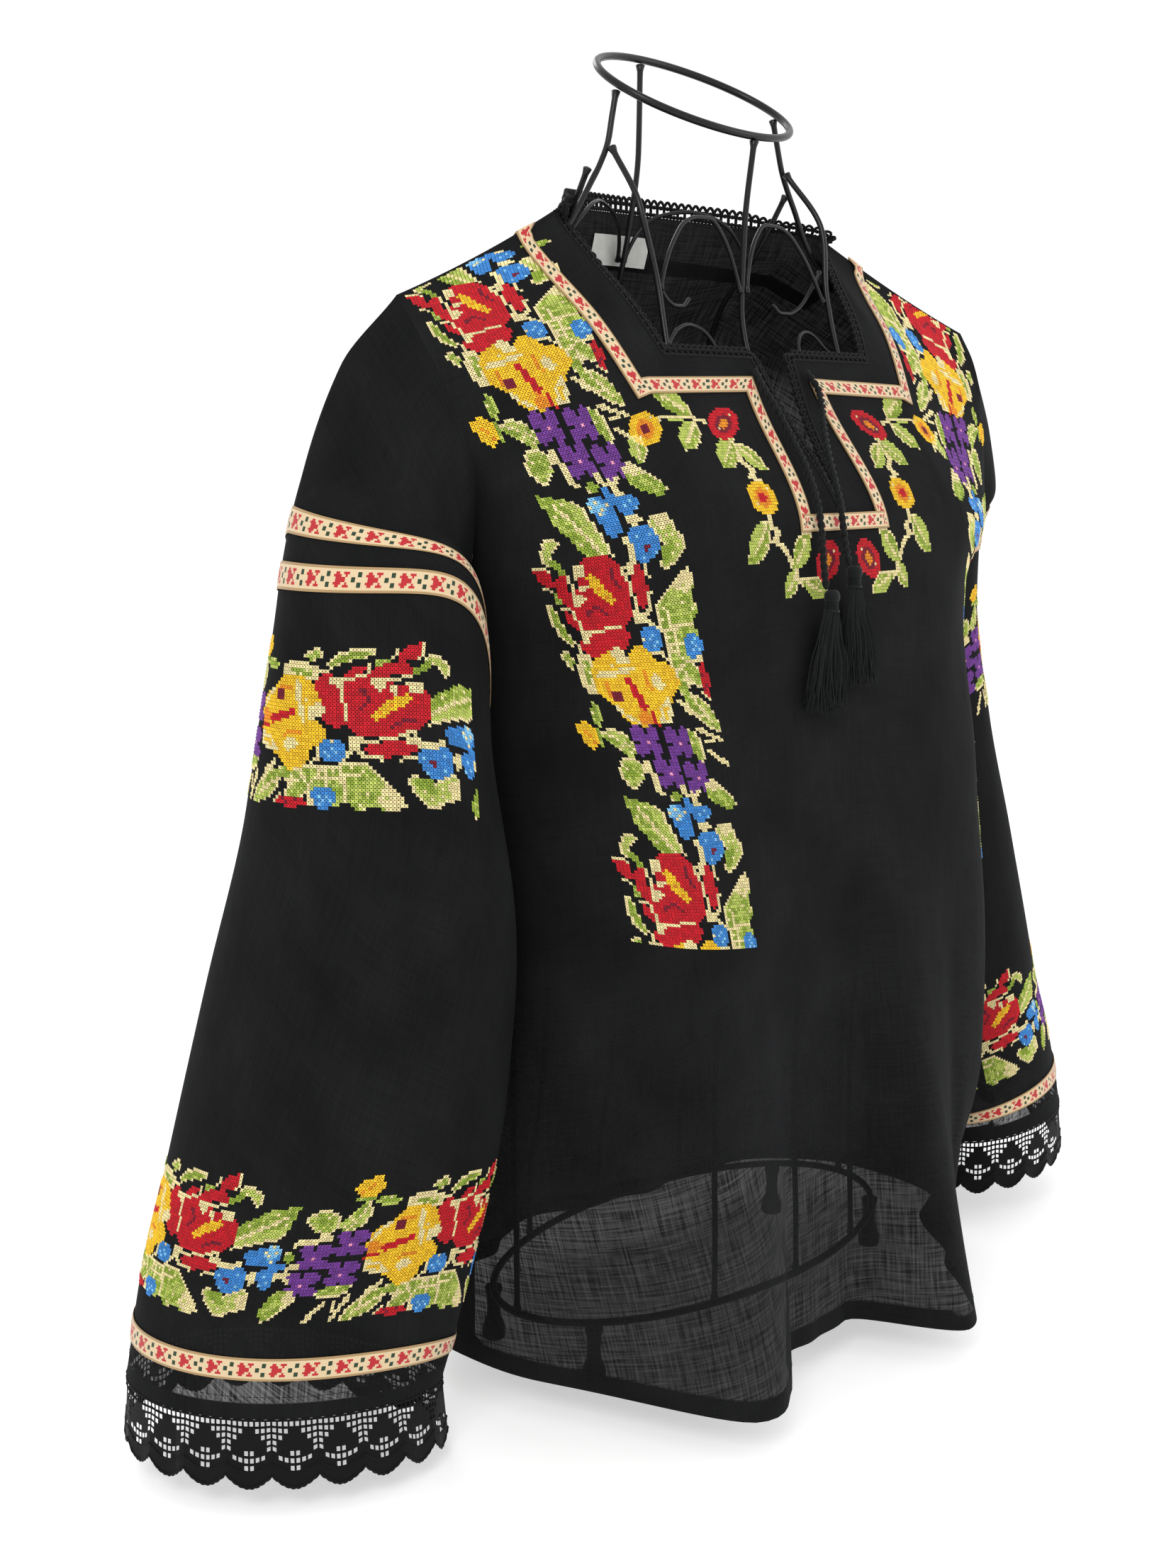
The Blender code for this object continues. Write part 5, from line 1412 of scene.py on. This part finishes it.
def column(name, sign, table):
    rows = np.arange(int(table.columns["row"][0]), COLUMN_END + 1)
    lengths = np.linspace(0, 430 * MM, 260)
    u = np.arange(border.wide + 1) - COLUMN_MIDDLE
    down = table("length", rows)[:, None] + table("lean", rows)[:, None] * u
    arcs = table("middle", rows)[:, None] - table("pitch", rows)[:, None] * u
    levels = np.interp(down, lengths, level_at_length(COLUMN_AXIS, sign, lengths))
    corners, total = on_chest(arcs, levels, sign)
    bare = (arcs > total - SEAM_BARE) | (down < 1 * MM)
    threads = border.cells[rows[:-1] % border.high].copy()
    threads[bare[:-1, :-1] | bare[1:, 1:]] = BARE
    crosses(name, corners, (sign * 0.1, 0.1, 0.4), threads)


column("stitched_column_right", -1, COLUMN_RIGHT)
column("stitched_column_left", 1, COLUMN_LEFT)

# %% The neckline flowers
POSY_PITCH, POSY_FIRST, POSY_AXIS = 1.75 * MM, 110 * MM, 60 * MM


def posy_side(name, sign):
    levels = level_at_length(POSY_AXIS, sign, POSY_FIRST + POSY_PITCH * np.arange(posy.high + 1))
    arcs = POSY_PITCH * np.arange(posy.wide + 1)
    corners = np.array([body_point(x_at_arc(arcs, d, sign)[0], d) for d in levels])
    crosses(name, corners, (0, 0.1, 0.4), posy.cells)


posy_side("stitched_neck_right", -1)
posy_side("stitched_neck_left", 1)

# %% [markdown]
# ### Bands on the sleeves
# The same border runs round each sleeve, once on the upper arm and once above the cuff. It lies
# on its side there: the outer edge of the column is the band's top. The two sleeves aren't
# mirror images here, because both bands were stitched in the same direction.

# %% Bands round the sleeves
BAND_END = 3 * MM                         # cloth left bare where a band's two ends meet
# top, low, first fraction, stitch width, stitches, and the first row on the right and the left
BANDS = (("arm", 0.338, 0.488, 0.369, 1.87 * MM, 172, {-1: 3, 1: 178}),
         ("cuff", 0.777, 0.913, 0.499, 1.68 * MM, 270, {-1: 19, 1: 40}))


def band(name, sign, top, low, first_fraction, pitch, count, first_row):
    """Rows of the chart run round the sleeve from a fraction towards the back."""
    fine = np.linspace(-0.5, 0.5, 361)
    corners = []
    for along in np.linspace(top, low, border.wide + 1):
        run = run_of(sleeve_point(sign, fine, along))
        where = np.interp(first_fraction, fine, run) - pitch * np.arange(count + 1)
        corners.append(sleeve_point(sign, np.interp(where, run, fine), along))
    threads = border.cells[(first_row - sign * np.arange(count)) % border.high].T.copy()
    round_top = run_of(sleeve_point(sign, fine, top))[-1]
    threads[:, np.arange(count) * pitch >= round_top - BAND_END] = BARE
    crosses(name, np.array(corners), sleeve_point(sign, fine, 0.5 * (top + low)).mean(0), threads)


for side, sign in SIDES:
    for label, *sizes, first_rows in BANDS:
        band("stitched_%s_band_%s" % (label, side), sign, *sizes, first_rows[sign])
print("triangles of thread:", sum(2 * len(p.data.polygons) for n, p in pieces.items()
                                  if n.startswith("stitched")))

# %% [markdown]
# ## Woven ribbon
# Narrow ribbon with a woven pattern edges the neck and circles the sleeves: a cream ground, a red
# leaf cluster and three green dots in turn. It is made like the real one, on a small chart, where
# every square is one float of thread. The ribbon is a thin band with turned-down edges.

# %% The ribbon's chart
RIBBON_CHART = (
    "e........e", "e..r..r..e", "e.rrrrrr.e", "e.rrrrrr.e", "e..rrrr..e", "e...rr...e",
    "e.r.rr.r.e", "e.rr..rr.e", "e.r....r.e", "e........e", "e...gg...e", "e...gg...e",
    "e........e", "e.gg..gg.e", "e.gg..gg.e", "e........e",
)
RIBBON_THREADS = {"e": (0.34, 0.22, 0.1), ".": (0.6, 0.46, 0.28), "r": (0.4, 0.012, 0.018),
                  "g": (0.012, 0.035, 0.014)}
RIBBON_STEP, RIBBON_WIDE, RIBBON_EDGE, RIBBON_CROWN = 1.0 * MM, 9.5 * MM, 0.6 * MM, 0.25 * MM
NECK_LIFT, SLEEVE_LIFT = 1.3 * MM, 0.9 * MM              # how high the ribbon lies on the cloth

satin = Finish("woven_ribbon", Sheen_Weight=0.2, Sheen_Roughness=0.4, Specular_IOR_Level=0.3)
ribs, floats = satin.bands(0.5), satin.noise(1.5, 4.0)
satin.show(
    Base_Color=satin.shade(satin.attribute("thread", "Color"),
                           0.75 + 0.25 * ribs + 0.25 * floats),
    Roughness=0.5 + 0.25 * floats, Normal=satin.bump(ribs + floats, 0.5, 0.12 * MM),
)


def resample(line, count):
    run = run_of(line)
    return read_line(np.linspace(0, run[-1], count), run, line)[:, None]


def loose_cells(grid, keep):
    """Separate quads of a grid, so that each can have its own colour."""
    i, j = np.argwhere(keep).T
    return np.stack([grid[i, j], grid[i + 1, j], grid[i + 1, j + 1], grid[i, j + 1]], 1)


def ribbon(name, stretches, lift, stands_for):
    """stretches: pairs of edge lines with their normals, all along one ribbon."""
    cells, paints, places, start = [], [], [], 0.0
    share = np.linspace(0, 1, 11)[:, None]
    for edge, inner, normals in stretches:
        long = 0.5 * (run_of(edge)[-1] + run_of(inner)[-1])
        count = max(2, int(round(long / RIBBON_STEP)) + 1)
        a, b, n = resample(edge, count), resample(inner, count), unit(resample(normals, count))
        face = a + (b - a) * share + n * (lift + RIBBON_CROWN * np.sin(np.pi * share))
        grid = np.concatenate([a + RIBBON_EDGE * n, face, b + RIBBON_EDGE * n], 1)
        keep = np.ones((count - 1, 12), bool)
        cells.append(loose_cells(grid, keep))
        row, col = np.argwhere(keep).T
        turn = ((start + row * RIBBON_STEP) / RIBBON_STEP).astype(int) % len(RIBBON_CHART)
        letters = [RIBBON_CHART[t][min(max(c - 1, 0), 9)] for t, c in zip(turn, col)]
        paints.append(np.repeat([RIBBON_THREADS[k] for k in letters], 4, 0))
        base = np.stack([(start + row * RIBBON_STEP) / MM, col * 0.95], -1)
        places.append(base[:, None] + [[0, 0], [1.0, 0], [1.0, 0.95], [0, 0.95]])
        start += (count - 1) * RIBBON_STEP
    points = np.concatenate(cells)
    make_piece(name, points, [np.arange(len(points) * 4).reshape(-1, 4)], satin,
               np.concatenate(places), np.concatenate(paints), smooth=False,
               stands_for=stands_for)


print("ribbon repeat:", len(RIBBON_CHART), "mm")

# %% Where the neck ribbon runs
RIBBON_CORNERS = np.array(((125, 535), (36, 540), (41, 465))) * MM     # x and height
RIBBON_RIDGE, RIBBON_BACK, PATH_STEP, RIDGE_BAND = 154 * MM, (148 * MM, 0.112), 3 * MM, 0.02


def neck_path():
    """Corner by corner, right to left and round the back: x, level and side."""
    half = [(RIBBON_RIDGE, 0.0)] + [(x, float(level_of(x, z))) for x, z in RIBBON_CORNERS]
    front = [(-x, d, False) for x, d in half] + [(x, d, False) for x, d in half[::-1]]
    x, d = RIBBON_BACK
    return front + [(x, d, True), (-x, d, True), (-RIBBON_RIDGE, 0.0, True)]


def edge_normal(x, down, back):
    if down > RIDGE_BAND:
        return surface_normal(x, down, back)
    share = min(1.0, abs(x) / NECK_TOP_HALF) ** 8
    return unit(share * surface_normal(x, 0.012, False) + surface_normal(x, 0.012, True))


def beside(points, normals, width):
    """The line beside a closed path, to its left seen from outside, with mitred corners."""
    ahead = unit(np.roll(points, -1, 0) - points)
    mean = unit(ahead + unit(points - np.roll(points, 1, 0)))
    mitre = np.clip(np.sum(mean * ahead, 1), 0.6, 1)
    return points + unit(np.cross(normals, mean)) * (width / mitre)[:, None]


path, path_normals, stops = [], [], [0]
turns_at = neck_path()
for (x0, d0, s0), (x1, d1, s1) in zip(turns_at[:-1], turns_at[1:]):
    count = max(2, int(math.hypot(x1 - x0, (d1 - d0) * 0.3) / PATH_STEP))
    for t in np.arange(count) / count:
        where = x0 + (x1 - x0) * t, d0 + (d1 - d0) * t, s0 or s1
        path.append(body_point(*where))
        path_normals.append(edge_normal(*where))
    stops.append(len(path))
path, path_normals = np.array(path), np.array(path_normals)
inside = beside(path, path_normals, RIBBON_WIDE)
stretches = []
for a, b in zip(stops[:-1], stops[1:]):
    pick = np.arange(a, b + 1) % len(path)
    stretches.append((path[pick], inside[pick], path_normals[pick]))
ribbon("ribbon_neck", stretches, NECK_LIFT, "neck_ribbon")

# %% Ribbons round the sleeves
SLEEVE_RIBBONS = (("arm_upper_band_", "arm_ribbon_upper_", ARM_RIBBONS[0]),
                  ("arm_lower_band_", "arm_ribbon_lower_", ARM_RIBBONS[1]),
                  ("cuff_band_", "cuff_ribbon_", CUFF_RIBBON))
for side, sign in SIDES:
    for label, node, (top, low) in SLEEVE_RIBBONS:
        a, b = (sleeve_point(sign, np.linspace(-0.5, 0.5, 241), along) for along in (top, low))
        n = grid_normals(np.stack([a, b]), a.mean(0))[0]
        ribbon(label + side, [(a, b, n)], SLEEVE_LIFT, node + side)
print("ribbons done")

# %% [markdown]
# ## Crochet
# The neck and the slit are edged with a little crochet: a chain along the cloth, short bars, a
# second chain and a row of loops. Crochet is thread, so it is modelled as thread, from bent
# tubes, which gives real holes and a real rounded edge.

# %% Crochet cotton, and many tubes at once
crochet = Finish("crochet_cotton", Roughness=0.8, Sheen_Weight=0.04, Sheen_Roughness=0.5,
                 Specular_IOR_Level=0.1)
twist, fuzz = crochet.bands(0.9, "DIAGONAL"), crochet.noise(1.2, 1.2, 3.0)
crochet.show(
    Base_Color=crochet.mix(fuzz, (0.0018, 0.0018, 0.002), (0.007, 0.007, 0.008)),
    Roughness=0.72 + 0.2 * fuzz, Normal=crochet.bump(twist * 0.6 + fuzz, 0.6, 0.25 * MM),
)


def tubes(lines, up, radius, sides):
    """lines: (count, steps, 3) paths of as many threads; up: a rough normal for each point."""
    count, steps = lines.shape[:2]
    ahead = unit(np.gradient(lines, axis=1))
    side = unit(np.cross(ahead, up))
    turn = turns_of(sides)[:, None]
    ring = side[:, :, None] * np.cos(turn) + np.cross(side, ahead)[:, :, None] * np.sin(turn)
    points = lines[:, :, None] + ring * np.broadcast_to(radius, (count, steps))[..., None, None]
    i, j, k = np.indices((count, steps - 1, sides))
    at, after = (i * steps + j) * sides, (k + 1) % sides
    quads = np.stack([at + k, at + after, at + sides + after, at + sides + k], -1)
    run = np.cumsum(np.linalg.norm(np.diff(lines, axis=1, prepend=lines[:, :1]), axis=2), 1) / MM
    uv = np.stack(np.broadcast_arrays(np.arange(sides) * 0.8, run[:, :, None]), -1)
    return points, [quads.reshape(-1, 4)], uv


def put_tubes(name, parts, stands_for=None):
    points, faces, uv = join(parts)
    make_piece(name, points, faces, crochet, uv, stands_for=stands_for)


def beads(radius, swell, count):
    """A thread that thickens at every second point, like a chain of stitches."""
    return radius * MM + swell * MM * np.cos(np.arange(count) * np.pi)


print("crochet:", crochet.material.name)

# %% The edge that the crochet is worked on
LOOP_STEP, LOOP_POINTS = 4.8 * MM, 4
low_row, slit_row = (int(np.argmin(np.abs(LEVELS - low))) for low in (NECK_LOW, SLIT_LOW))
grids = {"front": front_grid, "back": back_grid}
outs = {"front": grid_normals(front_grid, (0, 1, 0.3)),
        "back": grid_normals(back_grid, (0, -1, 0.3))}
first = 2 * HALF - 1 - NECK_LEFT
loop = [("front", i, NECK_RIGHT) for i in range(low_row)]
loop += [("front", low_row, j) for j in range(NECK_RIGHT, HALF - 1)]
loop += [("front", i, HALF - 1) for i in range(low_row, slit_row + 1)]
loop += [("front", i, HALF) for i in range(slit_row, low_row, -1)]
loop += [("front", low_row, j) for j in range(HALF, NECK_LEFT)]
loop += [("front", i, NECK_LEFT) for i in range(low_row, 0, -1)]
loop += [("back", 0, j) for j in range(first, first + BACK_NECK_COLUMNS)]
loop.append(loop[0])
ring = np.array([grids[face][i, j] for face, i, j in loop])
turns = int(round(run_of(ring)[-1] / LOOP_STEP))
at = np.linspace(0, run_of(ring)[-1], turns * LOOP_POINTS + 1)[:-1]
edge = read_line(at, run_of(ring), ring)
edge_up = unit(read_line(at, run_of(ring), np.array([outs[face][i, j] for face, i, j in loop])))
print("the edge is %.0f mm round" % (run_of(ring)[-1] / MM))

# %% The neck's edging
CHAIN_IN, CHAIN_OUT, CHAIN_SINK, LOOP_REACH = 0.9 * MM, 4.4 * MM, 0.5 * MM, 2.9 * MM
reach = edge - beside(edge, edge_up, 1.0)
if abs(edge[0, 0] + reach[0, 0]) > abs(edge[0, 0]):
    reach = -reach
in_slit = (edge[:, 1] < 0.06) & (np.abs(edge[:, 0]) < 24 * MM)
room = np.where(in_slit, np.abs(edge[:, 0]) - 1 * MM, 8 * MM) / (8 * MM)
reach = reach * np.clip(room, 0.2, 1)[:, None]
upright = smooth_step((edge[:, 1] - 0.055) / 0.02)[:, None]
reach = reach * (1 - upright) + 1.3 * unit(0.45 * reach + UP) * upright


def closed(line):
    return np.concatenate([line, line[:1]])[None]


chains = [edge + reach * out - edge_up * CHAIN_SINK for out in (CHAIN_IN, CHAIN_OUT)]
parts = [tubes(closed(chain), closed(edge_up), beads(1.15, 0.25, len(edge) + 1), 6)
         for chain in chains]
post = np.arange(turns) * LOOP_POINTS
bars = np.stack([chains[0][post], 0.5 * (chains[0] + chains[1])[post], chains[1][post]], 1)
parts.append(tubes(bars, edge_up[post][:, None].repeat(3, 1), 1.0 * MM, 6))
arcs = []
for share in np.linspace(0, 1, 8):
    i, t = int(share * LOOP_POINTS), share * LOOP_POINTS % 1
    base = chains[1][(post + i) % len(edge)] * (1 - t) + chains[1][(post + i + 1) % len(edge)] * t
    bow = math.sin(math.pi * share) ** 0.7
    arcs.append(base + reach[(post + LOOP_POINTS // 2) % len(edge)] * LOOP_REACH * bow)
parts.append(tubes(np.stack(arcs, 1), edge_up[post][:, None].repeat(8, 1), 0.95 * MM, 6))
put_tubes("crochet_neck", parts, "neck_lace")
print("neck edging: %d loops" % turns)

# %% [markdown]
# ### Lace round the cuffs
# The cuffs end in a wider crochet lace with a row of scallops. It is worked in rows of small
# squares, open or filled, so it can be charted too: one scallop is 8 squares wide. An open
# square is a frame of thread round a hole, and the hole is real.

# %% The cuff lace's chart
SCALLOP = ("oooooooo", "ooo##ooo", "oo####oo", "o######o", "o##oo##o", "#oooooo#", "###oo###",
           "########", "########")
SCALLOPS, LACE_DEEP, LACE_NOTCH, LACE_DROP, LACE_FLARE = 20, 35, 7, 0.56 * MM, 2 * MM
HOLE, PICOT_HALF, PICOT_DROP, RIDGE_ROWS = 0.62, 0.62, 1.5 * MM, [0, 1, 7, 9]


def cuff_lace(side):
    top = sleeves[side][1][-1]
    wide = len(SCALLOP[0])
    count = SCALLOPS * wide
    line = resample(closed(top)[0], count + 1)[:, 0] - UP * LACE_DROP
    out = unit((line - line.mean(0)) * (1, 1, 0))
    phase = np.arange(count + 1) / wide * np.pi
    depth = (LACE_DEEP - LACE_NOTCH * (1 - np.abs(np.sin(phase)))) * MM
    share = np.linspace(0, 1, len(SCALLOP) + 1)[:, None, None]
    wave = 0.5 * MM * np.sin(phase * 2 + 1)[None, :, None] * share
    grid = line - UP * depth[:, None] * share + out * (LACE_FLARE * share ** 1.3 + wave)
    open_here = np.tile([[c == "o" for c in row] for row in SCALLOP], (1, SCALLOPS))
    frames = loose_cells(grid, open_here)
    hole = frames.mean(1, keepdims=True) * (1 - HOLE) + frames * HOLE
    rims = np.stack([frames, np.roll(frames, -1, 1), np.roll(hole, -1, 1), hole], 2)
    quads = np.concatenate([loose_cells(grid, ~open_here), rims.reshape(-1, 4, 3)])
    centre = (grid[-1, :-1] + grid[-1, 1:]) / 2
    half = (grid[-1, 1:] - grid[-1, :-1]) * PICOT_HALF
    rim = [centre - half * math.cos(t) - UP * PICOT_DROP * math.sin(t)
           for t in np.linspace(0, np.pi, 6)]
    fans = np.concatenate([np.stack([centre, a, b], 1) for a, b in zip(rim[:-1], rim[1:])])
    points = np.concatenate([quads.reshape(-1, 3), fans.reshape(-1, 3)])
    faces = [np.arange(len(fans) * 3).reshape(-1, 3) + len(quads) * 4,
             np.arange(len(quads) * 4).reshape(-1, 4)]
    from_middle = points - line.mean(0)
    uv = np.stack([np.arctan2(from_middle[:, 1], from_middle[:, 0]) * 75, points[:, 2] / MM], -1)
    make_piece("crochet_cuff_" + side, points, faces, crochet, uv, smooth=False,
               stands_for="cuff_lace_" + side)
    # rounded threads along the rows and the scalloped rim
    threads = tubes(grid[RIDGE_ROWS], out[None].repeat(len(RIDGE_ROWS), 0),
                    beads(0.55, 0.18, count + 1), 5)
    put_tubes("crochet_ridges_" + side, [threads])


for side, _ in SIDES:
    cuff_lace(side)

# %% [markdown]
# ## Label and sewing threads
# A small woven label with folded ends is sewn inside the back neck. Its text is left off. Hems
# are turned in and topstitched: a row of short black stitches, a hem's depth above the edge.

# %% The label
LABEL_HALF, LABEL_HIGH, LABEL_TOP, LABEL_OFF, LABEL_FOLD = 25 * MM, 17, 0.045, 1.9, 0.35 * MM
linen = Finish("label_weave", Sheen_Weight=0.1, Specular_IOR_Level=0.3)
rows_of, patchy_tone_and_painted_shade = linen.bands(0.4, "Y"), linen.noise(0.15, 0.15, 3.0)
linen.show(Base_Color=linen.mix(patchy_tone_and_painted_shade, (0.5, 0.5, 0.47), (0.66, 0.66, 0.62)),
           Roughness=0.6 + 0.3 * patchy_tone_and_painted_shade, Normal=linen.bump(rows_of, 0.4, 0.1 * MM))
across = np.linspace(-LABEL_HALF, LABEL_HALF, 21)
levels = np.linspace(LABEL_TOP, LABEL_TOP + LABEL_HIGH * MM / 0.3, 9)[:, None]
label_up = surface_normal(across, levels, True)
pillow = 0.5 * np.cos(np.linspace(-1.2, 1.2, 21))[:, None]
folded = body_point(across, levels, True) - label_up * (LABEL_OFF + pillow) * MM
folded[:, [0, 1, 2, -3, -2, -1]] -= label_up[:, [0, 1, 2, -3, -2, -1]] * LABEL_FOLD
make_piece("label_tag", folded, [grid_faces(9, 21)], linen,
           net_uv(across / MM, np.linspace(0, LABEL_HIGH, 9)), stands_for="label")

# %% Topstitching
DASH_LONG, DASH_GAP, DASH_RISE, DASH_RADIUS = 2.6 * MM, 0.9 * MM, 0.16 * MM, 0.17 * MM


def dashes(grid, normals):
    """Short thread stitches along a panel, a hem's depth above its lowest row, as tubes."""
    above = down_run(grid)[-1] - down_run(grid)
    line, ups = (np.array([read_line(HEM_DEEP, above[::-1, j], of[::-1, j])
                           for j in range(grid.shape[1])]) for of in (grid, normals))
    run = run_of(line)
    steps = np.linspace(0, 1, 4)
    starts = np.arange(DASH_GAP, run[-1] - DASH_LONG, DASH_LONG + DASH_GAP)
    at = starts[:, None] + DASH_LONG * steps
    ups = read_line(at, run, unit(ups))
    points = read_line(at, run, line) + ups * (DASH_RISE * np.sin(np.pi * steps))[:, None]
    return tubes(points, ups, DASH_RADIUS, 4)


sewn = [dashes(grids[face], outs[face]) for face in grids]
for _, grid, _ in sleeves.values():
    sewn.append(dashes(grid, grid_normals(grid, grid.mean(1, keepdims=True), closed=True)))
put_tubes("hem_stitches", sewn)

# %% [markdown]
# ## What each panel was cut to
# For each cloth piece, the size of the flat cloth it was cut from and its area are printed.


def declare(item, grid, wide):
    long = float(down_run(grid)[-1].max())
    area = float(sum(p.area for p in item.data.polygons))
    print("%s: cut %.0f x %.0f mm, %.3f m2" % (item.name, wide / MM, long / MM, area))
    min(area, wide * long)


for item, grid in ((front, front_grid), (back, back_grid)):
    widest = float(np.linalg.norm(np.diff(grid, axis=1), axis=2).sum(1).max())
    declare(item, grid, widest)
for item, grid, round_it in sleeves.values():
    declare(item, grid, round_it)
triangles = {n: len(p.data.loops) - 2 * len(p.data.polygons) for n, p in pieces.items()}
print("triangles in all:", sum(triangles.values()), "most in one piece:",
      max((count, n) for n, count in triangles.items()))

# %% [markdown]
# ## Floor and light
# The blouse stands on a plain pale floor in a white room, with one large soft lamp above the
# camera's left and a fainter one from the right. Big lamps keep the shadows soft, and let the
# enamel show long bright lines.

# %% Floor, room and lamps
HALF_FLOOR, WHITE = 12.0, (1, 1, 1, 1)
paper = Finish("pale_floor", Roughness=0.7, Specular_IOR_Level=0.2, Emission_Strength=0.5,
               Emission_Color=WHITE)
grain = paper.node("ShaderNodeTexNoise", Vector=paper.node("ShaderNodeTexCoord", out=3),
                   Scale=30.0, Detail=3.0)
paper.show(Base_Color=paper.mix(grain, (0.6, 0.6, 0.6), (0.64, 0.64, 0.64)))
floor_mesh = bpy.data.meshes.new("floor")
floor_mesh.from_pydata([(x * HALF_FLOOR, y * HALF_FLOOR, 0)
                        for x, y in ((-1, -1), (1, -1), (1, 1), (-1, 1))], [], [(0, 1, 2, 3)])
floor_mesh.materials.append(paper.material)
floor = bpy.data.objects.new("floor", floor_mesh)
bpy.context.scene.collection.objects.link(floor)

room = bpy.data.worlds.new("white_room")
room.use_nodes = True
room.node_tree.nodes["Background"].inputs["Color"].default_value = WHITE
room.node_tree.nodes["Background"].inputs["Strength"].default_value = 1.05
bpy.context.scene.world = room


def lamp(name, at, size, power, towards=(0, 0, 0.4)):
    light = bpy.data.lights.new(name, "AREA")
    light.shape, light.size, light.energy = "DISK", size, power
    item = bpy.data.objects.new(name, light)
    item.location = at
    way = np.array(towards) - np.array(at)
    flat = math.hypot(way[0], way[1])
    item.rotation_euler = (math.atan2(flat, -way[2]), 0, math.atan2(-way[0], way[1]))
    bpy.context.scene.collection.objects.link(item)


lamp("key_lamp", (-1.9, -1.1, 1.9), 1.0, 26)
lamp("fill_lamp", (1.4, -1.8, 1.2), 1.2, 9)
lamp("rim_lamp", (0.6, 1.9, 1.8), 1.0, 10)
bpy.context.scene.view_settings.view_transform = "Standard"
print("lamps are up")
